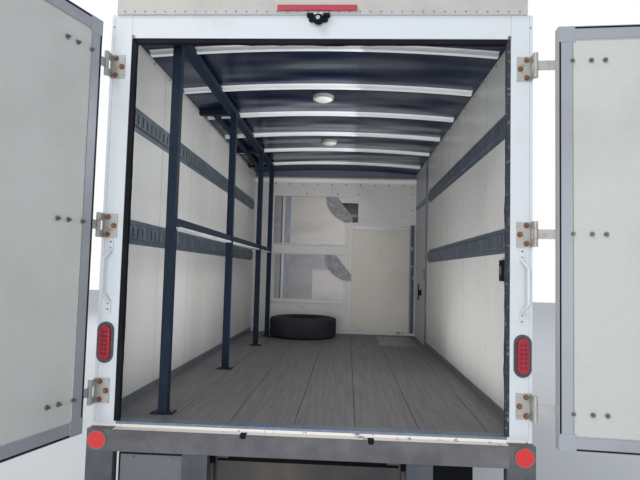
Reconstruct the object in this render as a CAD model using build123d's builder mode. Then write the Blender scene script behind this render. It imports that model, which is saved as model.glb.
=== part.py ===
from build123d import *
import os
from math import cos, radians, sin, sqrt

os.makedirs("parts", exist_ok=True)

# A cargo van: a boxed load body with rear double doors on a cutaway chassis, and a two-door cab.
# Millimetres. X points to the curb side, Y to the front, Z up. The origin is the middle of the
# loading edge, on the threshold at the floor's rear edge. Rear doors rest as they stand open.

# Load body
body_half = 1016  # half the width over posts and rails
wall_thickness = 42
rail_stand = 6  # how far the wall's rails stand out of its skin
load_length = 3893  # loading edge to bulkhead
bulkhead_thickness = 42
wall_top = 1985
wall_bottom = -120
roof_crown = 45
roof_thickness = 6
bow_depth = 35
bow_width = 45
bow_places = (340, 950, 1550, 2150, 2750, 3400)
post_width = 101
frame_depth = 60
header_inset = 24  # posts and header end this far below the walls' top
header_depth = 115
rear_rail_inset = 28  # the roof rail's ends stand this far inside the body's sides
sill_step = 24  # the bumper sill lies this far below the floor
sill_reach = 54  # and this far behind it
sheet = 6

# Floor and what carries it
board_thickness = 28
board_joints = (-663, -376, -70, 220, 517, 840)
board_gap = 3
cross_sill_depth = 75
cross_sill_flange = 40
cross_sill_count = 12
long_sill_depth = 50

# Chassis
deck_height = 860  # floor above the ground
rail_half = 432
rail_flange = 60
rail_depth = 180
rail_wall = 8
rail_rear = 40
rail_kick_start = 443  # the rails step down from here behind the bulkhead
rail_kick_length = 250
rail_kick = 100
tyre_radius = 372
tyre_width = 223
rim_width = 196
rim_seat = 211
rim_flange = 11
rim_wall = 8
spindle_radius = 25
gearbox_low = -390
gearbox_reach = 365  # its rear end ahead of the cab's rear
fit_gap = 0.05  # running fit at pins and spindles
seat_gap = 0.3
rear_axle_y = 1390
rear_track_inset = 166  # from the body's side to the middle of a rear tyre
front_track_inset = 141
kingpin_offset = 85  # from the tyre's middle to the kingpin
kingpin_radius = 12

# Rear doors
door_gap = 5  # between leaf and frame
leaf_thickness = 45
leaf_edge = 65  # width of the aluminium edging
leaf_recess = 3
leaf_bottom = -18
leaf_overlap = 12  # the leaves reach this far up over the header
centre_gap = 8
pin_inset = 4  # hinge pins stand this far inside the body's side
pin_back = 50  # hinge pins stand this far behind the frame
strap_free = 86
strap_reach = 311
strap_height = 43
strap_thickness = 6
hinge_rise = 158  # outer hinges lie this far from the leaf's ends
hinge_plate_height = 116
barrel_radius = 11
pin_radius = 6.5
right_open = 175.5
left_open = 106.4
lock_from_centre = 290
lock_rod_radius = 11

# Side door
side_door_width = 770
side_door_setback = 43  # from the bulkhead's rear face to the doorway
side_door_sill = 5
side_door_top = 1480
side_gap = 6
side_hinges = (300, 800, 1250)

# Cab
cab_wall = 40
cab_setback = 16  # the cab's sides stand inside the box by this much
cab_roof = 1300
axle_reach = 1465  # front axle ahead of the cab's rear
nose_reach = 700  # grille ahead of the front axle
head_reach = 915  # top of the windshield ahead of the cab's rear
head_height = 1250
foot_reach = 1365
foot_height = 540
hood_front = 385
rocker_bottom = -430
cab_floor_top = -160
firewall_reach = 1245
arch_room = 58  # between the front tyres and their arches
arch_inner = 545
liner = 6
cab_door_reach = 150  # the doors' rear edge ahead of the cab's rear
cab_door_width = 915
cab_door_top = 1165
cab_door_bottom = -330
hood_margin = 260  # from the cab's side to the hood's edge
hood_rear_gap = 45  # from the windshield's foot
hood_front_gap = 110  # from the grille's plane
panel_gap = 6
door_line = 8  # gap round a cab door
rear_gap = 14  # and behind it, where its top swings rearward
cab_pin_out = 4  # the doors' pins stand this far outside the cab's side
cab_pin = 3
cab_barrel = 5
cab_hinges = (-150, 220)

# Worked out from the sizes above
inner_half = body_half - wall_thickness
header_top = wall_top - header_inset
header_bottom = header_top - header_depth
leaf_top = header_bottom + leaf_overlap
hinge_places = (
    leaf_bottom + hinge_rise,
    (leaf_bottom + leaf_top) / 2,
    leaf_top - hinge_rise,
)
rear_track_half = body_half - rear_track_inset
front_track_half = body_half - front_track_inset
skin_half = body_half - rail_stand
opening_half = body_half - post_width
pin_half = body_half - pin_inset
side_door_front = load_length - side_door_setback
side_door_rear = side_door_front - side_door_width
rail_kick_rear = load_length - rail_kick_start
rail_kick_front = rail_kick_rear + rail_kick_length
cab_rear = load_length + bulkhead_thickness
cab_half = body_half - cab_setback
front_axle_y = cab_rear + axle_reach
kingpin_half = front_track_half - kingpin_offset
windshield_head = (cab_rear + head_reach, head_height)
windshield_foot = (cab_rear + foot_reach, foot_height)
firewall_y = cab_rear + firewall_reach
cab_door_rear = cab_rear + cab_door_reach
cab_door_front = cab_door_rear + cab_door_width
nose_y = front_axle_y + nose_reach
hood_side = cab_half - hood_margin
arch_radius = tyre_radius + arch_room
wheel_z = tyre_radius - deck_height
cross_sill_top = -board_thickness
long_sill_top = cross_sill_top - cross_sill_depth
rail_top = long_sill_top - long_sill_depth
rail_front_top = rail_top - rail_kick
gearbox_end = cab_rear + gearbox_reach
rail_front = nose_y - 200
hood_rear = windshield_foot[0] + hood_rear_gap
hood_nose = nose_y - hood_front_gap
rim_half = rim_width / 2


# An outline on a plane: each corner is (across, up, radius of the corner)
def outline(plane, corners, inset=0):
    with BuildSketch(plane) as shape:
        with BuildLine():
            Polyline(*[(across, up) for across, up, radius in corners], close=True)
        make_face()
        for across, up, radius in corners:
            if radius:
                fillet(shape.vertices().sort_by_distance((across, up, 0))[0], radius)
        if inset:
            offset(amount=-inset, kind=Kind.INTERSECTION, mode=Mode.REPLACE)
    return shape.sketch


# Solids with one outline all along: a side view along X, a rear view along Y, a plan along Z
def along_x(corners, start, end, inset=0, mode=Mode.ADD):
    face = outline(Plane.YZ.offset(start), corners, inset)
    extrude(face, amount=end - start, dir=(1, 0, 0), mode=mode)


def along_y(corners, start, end, inset=0, mode=Mode.ADD):
    face = outline(Plane.XZ.offset(-start), corners, inset)
    extrude(face, amount=end - start, dir=(0, 1, 0), mode=mode)


def along_z(corners, start, end, inset=0, mode=Mode.ADD, plane=Plane.XY):
    face = outline(plane.offset(start), corners, inset)
    extrude(face, amount=end - start, dir=(0, 0, 1), mode=mode)


# Four corners of a rectangle, and eight of a channel that opens to higher values across
def rectangle(left, right, low, high, radius=0):
    return [(left, low, radius), (right, low, radius), (right, high, radius), (left, high, radius)]


def channel(back, front, low, high, wall):
    return [
        (back, low, 0),
        (front, low, 0),
        (front, low + wall, 0),
        (back + wall, low + wall, 0),
        (back + wall, high - wall, 0),
        (front, high - wall, 0),
        (front, high, 0),
        (back, high, 0),
    ]


# The right half's corners, then the same mirrored, for an outline that is even about X = 0
def both_halves(corners):
    return corners + [(-across, up, radius) for across, up, radius in reversed(corners)]


# A round bar along X, Y or Z between two places on that axis
def bar(axis, first, second, radius, start, end, mode=Mode.ADD):
    planes = {
        "x": (Plane.YZ.offset(start), end - start),
        "y": (Plane.XZ.offset(-start), start - end),
        "z": (Plane.XY.offset(start), end - start),
    }
    plane, amount = planes[axis]
    with BuildSketch(plane) as section:
        with Locations((first, second)):
            Circle(radius)
    extrude(section.sketch, amount=amount, mode=mode)


# Frame rails: two channels that step down ahead of the load body, and their cross-members
def rail_outline(inset, past):
    front_drop = rail_kick + inset
    low = rail_depth - inset
    bend = 40
    return [
        (rail_rear - past, rail_top - inset, 0),
        (rail_kick_rear, rail_top - inset, 0),
        (rail_kick_front, rail_top - front_drop, 0),
        (rail_front + past, rail_top - front_drop, 0),
        (rail_front + past, rail_top - rail_kick - low, 0),
        (rail_kick_front - bend, rail_top - rail_kick - low, 0),
        (rail_kick_rear - bend, rail_top - low, 0),
        (rail_rear - past, rail_top - low, 0),
    ]


rail_web = rail_half - rail_wall
# Each cross-member: (middle along Y, top)
cross_members = (
    (rail_rear + 30, rail_top - 20),
    (rear_axle_y - 490, rail_top - 20),
    (rear_axle_y + 510, rail_top - 20),
    ((rear_axle_y + rail_kick_rear) / 2 + 280, rail_top - 20),
    (rail_kick_rear - 100, rail_top - 20),
    (gearbox_end + 100, gearbox_low),
    (rail_front - 60, rail_front_top - 40),
)
with BuildPart() as frame_rails:
    along_x(rail_outline(0, 0), rail_half - rail_flange, rail_half)
    along_x(rail_outline(rail_wall, 1), rail_half - rail_flange - 1, rail_web, mode=Mode.SUBTRACT)
    mirror(about=Plane.YZ)
    for middle, top in cross_members:
        depth = 40 if top == gearbox_low else 90
        along_x(channel(middle - 30, middle + 30, top - depth, top, rail_wall), -rail_web, rail_web)
    for side in (-1, 1):
        for place in (cab_rear + 215, cab_rear + 1115):
            bar("z", side * (rail_half - 30), place, 28, rail_front_top, cab_floor_top - cab_wall)
        link = rectangle(side * rail_half, side * (rail_half + 60), 0, 140)
        along_z(link, rail_top - rail_depth, rail_top - 20)
frame_rails.part.label = "frame_rails"
export_step(frame_rails.part, "parts/frame_rails.step")

# Long sills that lie on the rails, and cross sills over them
with BuildPart() as long_sills:
    for side in (-1, 1):
        centre = side * (rail_half - rail_flange / 2)
        along_x(
            [
                (rail_rear, rail_top, 0),
                (rail_kick_rear, rail_top, 0),
                (rail_kick_rear, long_sill_top - 40, 0),
                (cab_rear, long_sill_top - 40, 0),
                (cab_rear, long_sill_top, 0),
                (rail_rear, long_sill_top, 0),
            ],
            centre - 30,
            centre + 30,
        )
long_sills.part.label = "long_sills"
export_step(long_sills.part, "parts/long_sills.step")

sill_pitch = (load_length - 140) / (cross_sill_count - 1)
wheel_room = tyre_radius + 60
with BuildPart() as cross_sills:
    for index in range(cross_sill_count):
        middle = 80 + index * sill_pitch
        half = inner_half
        if abs(middle - rear_axle_y) < wheel_room:
            half = rear_track_half - tyre_width / 2 - 40
        section = channel(
            middle - cross_sill_flange / 2,
            middle + cross_sill_flange / 2,
            long_sill_top,
            cross_sill_top,
            5,
        )
        along_x(section, -half, half)
cross_sills.part.label = "cross_sills"
export_step(cross_sills.part, "parts/cross_sills.step")

# Hardwood floor boards, side by side
board_edges = (-inner_half,) + board_joints + (inner_half,)
with BuildPart() as floor_boards:
    for left, right in zip(board_edges, board_edges[1:]):
        left_edge = left + (board_gap / 2 if left > -inner_half else 0)
        right_edge = right - (board_gap / 2 if right < inner_half else 0)
        along_z(rectangle(left_edge, right_edge, frame_depth, load_length), -board_thickness, 0)
floor_boards.part.label = "floor_boards"
export_step(floor_boards.part, "parts/floor_boards.step")

# Side walls: skin, liner and both rails as one panel; the right one has the side doorway
wall_outline = [
    (inner_half, wall_bottom, 0),
    (body_half, wall_bottom, 6),
    (body_half, wall_bottom + 100, 0),
    (skin_half, wall_bottom + 106, 0),
    (skin_half, wall_top - 130, 0),
    (body_half, wall_top - 124, 0),
    (body_half, wall_top, 25),
    (inner_half, wall_top, 0),
]
side_pin_x = skin_half + 9
side_pin_y = side_door_front - side_gap / 2
side_barrel = 8
side_pin = 4
with BuildPart() as wall_left:
    along_y(
        [(-across, up, radius) for across, up, radius in wall_outline], frame_depth, cab_rear
    )
wall_left.part.label = "wall_left"
export_step(wall_left.part, "parts/wall_left.step")

with BuildPart() as wall_right:
    along_y(wall_outline, frame_depth, cab_rear)
    doorway = rectangle(side_door_rear, side_door_front, side_door_sill, side_door_top)
    along_x(doorway, inner_half - 1, body_half + 1, mode=Mode.SUBTRACT)
    for place in side_hinges:
        start = side_door_front + 10
        along_z(rectangle(skin_half, skin_half + 4, start, start + 40), place - 40, place + 40)
        for low, high in ((place - 40, place - 20), (place + 20, place + 40)):
            bar("z", side_pin_x, side_pin_y, side_barrel, low, high)
            along_z(rectangle(skin_half + 1, skin_half + 4, side_pin_y, start + 1), low, high)
        bar("z", side_pin_x, side_pin_y, side_pin, place - 40, place + 40)
wall_right.part.label = "wall_right"
export_step(wall_right.part, "parts/wall_right.step")

# Side door, hung at its front edge
with BuildPart() as side_door:
    leaf = rectangle(
        side_door_rear + side_gap,
        side_door_front - side_gap,
        side_door_sill + side_gap,
        side_door_top - side_gap,
    )
    along_x(leaf, inner_half, skin_half)
    panel = rectangle(
        side_door_rear + side_gap + 50,
        side_door_front - side_gap - 50,
        side_door_sill + side_gap + 50,
        side_door_top - side_gap - 50,
        20,
    )
    along_x(panel, inner_half - 1, inner_half + 3, mode=Mode.SUBTRACT)
    along_x(panel, skin_half - 3, skin_half + 1, mode=Mode.SUBTRACT)
    for place in side_hinges:
        plate = rectangle(skin_half, skin_half + 4, side_door_front - side_gap - 44, side_pin_y)
        along_z(plate, place - 19, place + 19)
        bar("z", side_pin_x, side_pin_y, side_barrel, place - 19, place + 19)
        bar(
            "z", side_pin_x, side_pin_y, side_pin + fit_gap, place - 20, place + 20, Mode.SUBTRACT
        )
side_door.part.label = "side_door"
export_step(side_door.part, "parts/side_door.step")


# Roof: a crowned skin with side flanges on the walls, and the bows under it
def crown(drop_top, drop_bottom, half, start, end, mode=Mode.ADD):
    with BuildSketch(Plane.XZ.offset(-start)) as section:
        with BuildLine():
            rise_at_edge = roof_crown * (1 - (half / body_half) ** 2)
            upper = wall_top + rise_at_edge - drop_top
            lower = wall_top + rise_at_edge - drop_bottom
            ThreePointArc((-half, upper), (0, wall_top + roof_crown - drop_top), (half, upper))
            Line((half, upper), (half, lower))
            ThreePointArc((half, lower), (0, wall_top + roof_crown - drop_bottom), (-half, lower))
            Line((-half, lower), (-half, upper))
        make_face()
    extrude(section.sketch, amount=end - start, dir=(0, 1, 0), mode=mode)


with BuildPart() as box_roof:
    crown(-roof_thickness, 0, skin_half, frame_depth, cab_rear)
    for side in (-1, 1):
        edge = rectangle(side * inner_half, side * skin_half, wall_top, wall_top + 5)
        along_y(edge, frame_depth, cab_rear)
box_roof.part.label = "box_roof"
export_step(box_roof.part, "parts/box_roof.step")

with BuildPart() as roof_bows:
    for place in bow_places:
        crown(0, bow_depth, inner_half, place - bow_width / 2, place + bow_width / 2)
        crown(4, bow_depth, inner_half, place - 14, place + 14, Mode.SUBTRACT)
        for edge in (-18, 18):
            crown(bow_depth - 6, bow_depth, inner_half, place + edge - 12, place + edge + 12)
roof_bows.part.label = "roof_bows"
export_step(roof_bows.part, "parts/roof_bows.step")

# Bulkhead between load space and cab, with its high opening and the panelled walk-through
high_opening = (86, 284, 1330, 1564)
walkway = (224, inner_half - 73, 56, 1288)
with BuildPart() as front_bulkhead:
    along_y(rectangle(-inner_half, inner_half, -board_thickness, wall_top), load_length, cab_rear)
    crown(0, roof_crown + 10, inner_half, load_length, cab_rear)
    along_y(rectangle(*high_opening), load_length - 1, cab_rear + 1, mode=Mode.SUBTRACT)
    along_y(rectangle(*walkway), load_length - 1, load_length + 14, mode=Mode.SUBTRACT)
    top_rail = rectangle(-inner_half, inner_half, wall_top - 180, wall_top - 119)
    along_y(top_rail, load_length - 25, load_length)
    for low in (1047, 932, 351):
        along_y(rectangle(-740, 217, low, low + 15), load_length - 12, load_length)
    along_y(rectangle(180, 217, 30, high_opening[2] - 2), load_length - 18, load_length)
front_bulkhead.part.label = "front_bulkhead"
export_step(front_bulkhead.part, "parts/front_bulkhead.step")

# Fixed panel over the walk-through, with its flanged top rail
with BuildPart() as doorway_panel:
    left, right, low, high = walkway
    sheet_front = load_length + 14
    panel = rectangle(left + seat_gap, right - seat_gap, low + seat_gap, high - seat_gap)
    along_y(panel, sheet_front - 12, sheet_front)
    top_rail = rectangle(left + seat_gap, right - seat_gap, high - 42, high - seat_gap)
    along_y(top_rail, load_length - 12, sheet_front - 11)
    for start in (left + 25, right - 65):
        along_y(rectangle(start, start + 40, low + 20, high - 60), load_length - 4, sheet_front - 11)
doorway_panel.part.label = "doorway_panel"
export_step(doorway_panel.part, "parts/doorway_panel.step")

# Aluminium sheets on the bulkhead, folded near the left edge and clear of the high opening. A
# round bite is cut from each one's upper right corner, and a grey gusset fills it up to a
# sloping line.
bite_x = 200
bite_radius = 305
gusset_stand = 18  # the gussets stand this far off the bulkhead
sheet_fold = -632
sheet_margin = 4  # the sheets end this far short of the opening
# Each sheet: (left, right, low, high)
sheets = ((-730, 133, 1062, 1633), (-710, 125, 400, 932))
with BuildPart() as bulkhead_sheets:
    for left, right, low, high in sheets:
        along_y(rectangle(left, right, low, high), load_length - 3, load_length)
        along_y(rectangle(sheet_fold, sheet_fold + 58, low, high), load_length - 8, load_length - 2)
        bar("y", bite_x, high, bite_radius, load_length - 9, load_length + 1, Mode.SUBTRACT)
    near, far, bottom, top = high_opening
    clear = rectangle(near - sheet_margin, far, bottom - sheet_margin, top)
    along_y(clear, load_length - 9, load_length + 1, mode=Mode.SUBTRACT)
bulkhead_sheets.part.label = "bulkhead_sheets"
export_step(bulkhead_sheets.part, "parts/bulkhead_sheets.step")

with BuildPart() as bulkhead_gussets:
    for left, right, low, high in sheets:
        with BuildSketch(Plane.XZ.offset(-load_length + gusset_stand)) as gusset:
            with Locations((bite_x, high)):
                Circle(bite_radius - 1)
            with BuildLine():
                Polyline(
                    (bite_x - bite_radius, high),
                    (bite_x - 175, high),
                    (bite_x + 17, high - 240),
                    (bite_x + 17, high - bite_radius),
                    (bite_x - bite_radius, high - bite_radius),
                    close=True,
                )
            make_face(mode=Mode.INTERSECT)
        extrude(gusset.sketch, amount=6, dir=(0, -1, 0))
        foot = rectangle(bite_x - 250, bite_x - 210, high - 60, high - 20)
        along_y(foot, load_length - gusset_stand - 1, load_length)
bulkhead_gussets.part.label = "bulkhead_gussets"
export_step(bulkhead_gussets.part, "parts/bulkhead_gussets.step")

# Rear frame: posts, header, roof rail, the folded threshold and bumper sill, end boxes and
# grab handles
handle_rod = 8
handle_foot = body_half - 49
handle_low = 520
handle_high = 843
with BuildPart() as rear_frame:
    for side in (-1, 1):
        post = rectangle(side * opening_half, side * body_half, 0, frame_depth)
        along_z(post, 0, header_top)
        along_z(
            rectangle(side * (opening_half - 12), side * body_half, -pin_back, frame_depth),
            wall_bottom,
            -sill_step,
        )
        along_z(
            rectangle(side * (opening_half - 12), side * body_half, 0, frame_depth), -sill_step, 0
        )
    along_y(rectangle(-opening_half, opening_half, header_bottom, header_top), 0, frame_depth)
    rear_rail_half = body_half - rear_rail_inset
    rear_rail = [
        (-rear_rail_half, header_top, 0),
        (rear_rail_half, header_top, 0),
        (rear_rail_half, wall_top + 60, 18),
        (-rear_rail_half, wall_top + 60, 18),
    ]
    along_y(rear_rail, -14, frame_depth)
    folded = [
        (0, 0, 0),
        (frame_depth, 0, 0),
        (frame_depth, -sheet, 0),
        (sheet, -sheet, 0),
        (sheet, -sill_step - sheet, 0),
        (-sill_reach + sheet, -sill_step - sheet, 0),
        (-sill_reach + sheet, wall_bottom + sheet, 0),
        (-20, wall_bottom + sheet, 0),
        (-20, wall_bottom, 0),
        (-sill_reach, wall_bottom, 0),
        (-sill_reach, -sill_step, 0),
        (0, -sill_step, 0),
    ]
    along_x(folded, -opening_half + 12, opening_half - 12)
    for side in (-1, 1):
        keeper = rectangle(
            side * lock_from_centre - 11, side * lock_from_centre + 11, -sill_step - 18, -sill_step - 4
        )
        along_y(keeper, -sill_reach - 1, -sill_reach + sheet + 1, mode=Mode.SUBTRACT)
for side in (-1, 1):
    with BuildPart() as grab_handle:
        with BuildLine() as route:
            FilletPolyline(
                (side * handle_foot, 0, handle_low + 30),
                (side * handle_foot, -10, handle_low + 45),
                (side * (handle_foot + 17), -44, handle_low + 80),
                (side * (handle_foot + 17), -44, handle_high - 80),
                (side * handle_foot, -10, handle_high - 45),
                (side * handle_foot, 0, handle_high - 30),
                radius=14,
            )
        with BuildSketch(Plane(route.line @ 0, z_dir=route.line % 0)):
            Circle(handle_rod)
        sweep()
        for middle in (handle_low + 15, handle_high - 15):
            pad = rectangle(side * (handle_foot - 12), side * (handle_foot + 12), -6, 0)
            along_z(pad, middle - 28, middle + 28)
    with rear_frame:
        add(grab_handle.part)
rear_frame.part.label = "rear_frame"
export_step(rear_frame.part, "parts/rear_frame.step")

# Hinge brackets on the posts: plate, standing flange, outer barrels and pin
with BuildPart() as hinge_brackets:
    for side in (-1, 1):
        for place in hinge_places:
            low = place - hinge_plate_height / 2
            high = place + hinge_plate_height / 2
            half_strap = strap_height / 2
            plate = rectangle(side * (pin_half - 70), side * (pin_half - 3), -5, 0)
            along_z(plate, low, high)
            along_z(rectangle(side * (pin_half - 9), side * (pin_half - 3), -pin_back, -4), low, high)
            bar("z", side * pin_half, -pin_back, barrel_radius, low, high)
            gap = rectangle(side * (pin_half - 22), side * (pin_half + 18), -pin_back - 15, -20)
            along_z(gap, place - half_strap - 1, place + half_strap + 1, mode=Mode.SUBTRACT)
            bar("z", side * pin_half, -pin_back, pin_radius, low, high)
hinge_brackets.part.label = "hinge_brackets"
export_step(hinge_brackets.part, "parts/hinge_brackets.step")


# Rear doors. The door's plane starts at its pin: across runs along the leaf, up points to its
# outer face on the right door and to its inner face on the left, which outward turns round.
def door_plane(side, opening):
    shut = 180 if side > 0 else 0
    heading = radians(shut + side * opening)
    return Plane(
        origin=(side * pin_half, -pin_back, 0), x_dir=(cos(heading), sin(heading), 0), z_dir=(0, 0, 1)
    )


def upright(plane, left, right, inner, outer, low, high, mode=Mode.ADD):
    along_z(rectangle(left, right, inner, outer), low, high, mode=mode, plane=plane)


def rear_leaf(plane, outward):
    far = pin_half - centre_gap / 2
    upright(plane, strap_free, far, -outward * leaf_thickness, 0, leaf_bottom, leaf_top)
    for near_face, far_face in ((-leaf_thickness - 1, -leaf_thickness + leaf_recess), (-leaf_recess, 1)):
        upright(
            plane,
            strap_free + leaf_edge,
            far - leaf_edge,
            outward * near_face,
            outward * far_face,
            leaf_bottom + leaf_edge,
            leaf_top - leaf_edge,
            Mode.SUBTRACT,
        )


def turned_bar(plane, along, out, radius, low, high, mode=Mode.ADD):
    with BuildSketch(plane.offset(low)) as section:
        with Locations((along, out)):
            Circle(radius)
    extrude(section.sketch, amount=high - low, mode=mode)


def rear_fittings(plane, outward):
    lock = pin_half - lock_from_centre
    stand = 28
    for place in hinge_places:
        low = place - strap_height / 2
        high = place + strap_height / 2
        upright(plane, 0, strap_reach, 0, outward * strap_thickness, low, high)
        turned_bar(plane, 0, 0, barrel_radius, low, high)
        turned_bar(plane, 0, 0, pin_radius + fit_gap, low - 1, high + 1, Mode.SUBTRACT)
    turned_bar(plane, lock, outward * stand, lock_rod_radius, leaf_bottom + 6, leaf_top - 8)
    for place in (leaf_bottom + 108, 640, 1220, leaf_top - 88):
        upright(plane, lock - 22, lock + 22, -outward * leaf_recess, outward * 40, place - 20, place + 20)
    for low, high in ((-50, 20), (header_bottom - 26, header_bottom + 4)):
        upright(plane, lock - 17, lock + 17, outward * 20, outward * 38, low, high)
    upright(plane, lock - 360, lock, outward * 26, outward * 36, 938, 964)


right_plane = door_plane(1, right_open)
left_plane = door_plane(-1, left_open)
with BuildPart() as rear_door_right:
    rear_leaf(right_plane, 1)
rear_door_right.part.label = "rear_door_right"
export_step(rear_door_right.part, "parts/rear_door_right.step")

with BuildPart() as rear_door_left:
    rear_leaf(left_plane, -1)
rear_door_left.part.label = "rear_door_left"
export_step(rear_door_left.part, "parts/rear_door_left.step")

with BuildPart() as door_fittings_right:
    rear_fittings(right_plane, 1)
door_fittings_right.part.label = "door_fittings_right"
export_step(door_fittings_right.part, "parts/door_fittings_right.step")

with BuildPart() as door_fittings_left:
    rear_fittings(left_plane, -1)
door_fittings_left.part.label = "door_fittings_left"
export_step(door_fittings_left.part, "parts/door_fittings_left.step")

# Tail lamps, the bar lamp on the roof rail, and round reflectors on the end boxes
lamp_x = body_half - 44
reflector_x = body_half - 49
with BuildPart() as tail_lamps:
    for side in (-1, 1):
        with BuildSketch(Plane.XZ) as flange:
            with Locations((side * lamp_x, 365)):
                SlotOverall(194, 80, rotation=90)
        extrude(flange.sketch, amount=5)
        with BuildSketch(Plane.XZ.offset(5)) as lens:
            with Locations((side * lamp_x, 365)):
                SlotOverall(165, 57, rotation=90)
        extrude(lens.sketch, amount=12, taper=12)
        bar("y", side * reflector_x, -72, 40, -pin_back - 6, -pin_back)
    along_y(rectangle(-198, 185, wall_top - 10, wall_top + 16, 5), -26, -14)
tail_lamps.part.label = "tail_lamps"
export_step(tail_lamps.part, "parts/tail_lamps.step")

# Rear step under the sill: end posts, uprights, the step channel and the plate bracket
step_top = -400
plate_middle = -712.5
plate_screws = 178
plate_low = -300
plate_top = -128
with BuildPart() as rear_step:
    for side in (-1, 1):
        end_post = rectangle(side * (body_half - 126), side * body_half, -pin_back, 0)
        along_z(end_post, step_top - 10, wall_bottom)
        along_z(rectangle(side * 450, side * 567, -pin_back, 0), step_top - 10, wall_bottom)
    along_x(channel(-190, 0, step_top - 60, step_top, 5), -body_half, body_half)
    along_y(rectangle(plate_middle - 152, -560, plate_low, plate_top), -30, -26)
    along_y(rectangle(-600, -560, plate_low, plate_top), -30, -20)
    for place in (plate_middle - plate_screws / 2, plate_middle + plate_screws / 2):
        bar("y", place, plate_top - 22, 4, -31, -20, Mode.SUBTRACT)
rear_step.part.label = "rear_step"
export_step(rear_step.part, "parts/rear_step.step")

# Tie-down tracks along both walls: a folded hat with a row of slots
track_half = 63.5
track_depth = 12
track_sheet = 3
track_crest = 33
track_slot = (15, 52)
slot_pitch = 65
track_heights = (908, 1506)
# Each wall's tracks: (side, front end)
track_runs = ((1, side_door_rear - 230), (-1, load_length - 103))
with BuildPart() as tie_tracks:
    for side, track_end in track_runs:
        back = inner_half
        crest = inner_half - track_depth
        for middle in track_heights:
            half_hat = [
                (back - track_sheet, track_half),
                (back - track_sheet, track_crest + 8),
                (crest, track_crest),
                (crest, -track_crest),
                (back - track_sheet, -track_crest - 8),
                (back - track_sheet, -track_half),
                (back, -track_half),
                (back, -track_crest - 5),
                (crest + track_sheet, -track_crest + 2),
                (crest + track_sheet, track_crest - 2),
                (back, track_crest + 5),
                (back, track_half),
            ]
            hat = [(side * across, middle + up, 0) for across, up in half_hat]
            along_y(hat, frame_depth, track_end)
        slot_count = int((track_end - frame_depth - 40) / slot_pitch)
        with BuildSketch(Plane.YZ.offset(side * (crest - 1))) as slots:
            for middle in track_heights:
                for index in range(slot_count):
                    with Locations((frame_depth + 50 + index * slot_pitch, middle)):
                        Rectangle(*track_slot)
        extrude(slots.sketch, amount=side * 6, dir=(1, 0, 0), mode=Mode.SUBTRACT)
tie_tracks.part.label = "tie_tracks"
export_step(tie_tracks.part, "parts/tie_tracks.step")

# Metal trim along the walls: kick angles at the floor, cove rails under the roof, door jamb
kick_height = 50
kick_sheet = 3
cove_width = 112
jamb_rear = side_door_rear - 150
with BuildPart() as wall_trims:
    for side, kick_end in ((1, jamb_rear - 2), (-1, load_length - 30)):
        kick = rectangle(side * (inner_half - kick_sheet), side * inner_half, 0, kick_height)
        along_y(kick, frame_depth, kick_end)
        cove = [
            (inner_half, wall_top - 50, 0),
            (inner_half - cove_width, wall_top - 40, 0),
            (inner_half - cove_width, wall_top - 43, 0),
            (inner_half, wall_top - 53, 0),
        ]
        turned = [(side * across, up, radius) for across, up, radius in cove]
        along_y(turned, frame_depth, load_length - 30)
    jamb = rectangle(inner_half - 4, inner_half, jamb_rear, side_door_rear)
    along_z(jamb, 0, wall_top - 60)
    lintel = rectangle(side_door_rear, side_door_front, side_door_top, side_door_top + 50)
    along_x(lintel, inner_half - 8, inner_half)
wall_trims.part.label = "wall_trims"
export_step(wall_trims.part, "parts/wall_trims.step")

# Cargo rack on the left: square uprights on foot plates, top, wall and middle rails, cross ties
tube = 45
rack_top = wall_top - 60
rack_line = -inner_half + 259
# Each upright: (X, Y, tie to the wall)
uprights = (
    (rack_line - 22, 176, False),
    (rack_line + 3, 1414, True),
    (rack_line + 8, 2677, True),
    (rack_line + 8, load_length - 489, True),
)
with BuildPart() as cargo_rack:
    for across, place, tied in uprights:
        half = tube / 2
        along_z(rectangle(across - half, across + half, place - half, place + half), 6, rack_top)
        along_z(rectangle(across - 55, across + 55, place - 40, place + 40), 0, 6)
        if tied:
            tie = rectangle(-inner_half, across, place - 20, place + 20)
            along_z(tie, rack_top - 40, rack_top)
    first = uprights[0][1] - tube / 2
    last = uprights[-1][1] + tube / 2
    along_y(rectangle(rack_line - 33, rack_line + 25, rack_top - 40, rack_top), first, last)
    wall_rail = rectangle(rack_line - 165, rack_line - 125, rack_top - 40, rack_top)
    along_y(wall_rail, uprights[1][1] - 20, last)
    along_y(rectangle(rack_line - 20, rack_line + 20, 936, 976), first, last)
cargo_rack.part.label = "cargo_rack"
export_step(cargo_rack.part, "parts/cargo_rack.step")


# Wheels: corners are (out from the wheel's middle, from its axle, radius of the corner)
tyre_seat = rim_seat + seat_gap
half_tyre = tyre_width / 2
bead = rim_half - 7 - seat_gap
tyre_corners = [
    (-bead, tyre_seat, 0),
    (-bead, rim_seat + 15, 0),
    (-half_tyre, rim_seat + 54, 22),
    (-half_tyre, tyre_radius - 62, 30),
    (-half_tyre + 15, tyre_radius - 6, 14),
    (-half_tyre + 45, tyre_radius, 0),
    (half_tyre - 45, tyre_radius, 0),
    (half_tyre - 15, tyre_radius - 6, 14),
    (half_tyre, tyre_radius - 62, 30),
    (half_tyre, rim_seat + 54, 22),
    (bead, rim_seat + 15, 0),
    (bead, tyre_seat, 0),
    (bead - 24, tyre_seat, 0),
    (half_tyre - 18, rim_seat + 60, 0),
    (half_tyre - 18, tyre_radius - 64, 0),
    (half_tyre - 36, tyre_radius - 20, 0),
    (-half_tyre + 36, tyre_radius - 20, 0),
    (-half_tyre + 18, tyre_radius - 64, 0),
    (-half_tyre + 18, rim_seat + 60, 0),
    (-bead + 24, tyre_seat, 0),
]
rim_inner = rim_seat - rim_wall
hub_radius = 62
drum_radius = 160
bore_end = 34
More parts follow.
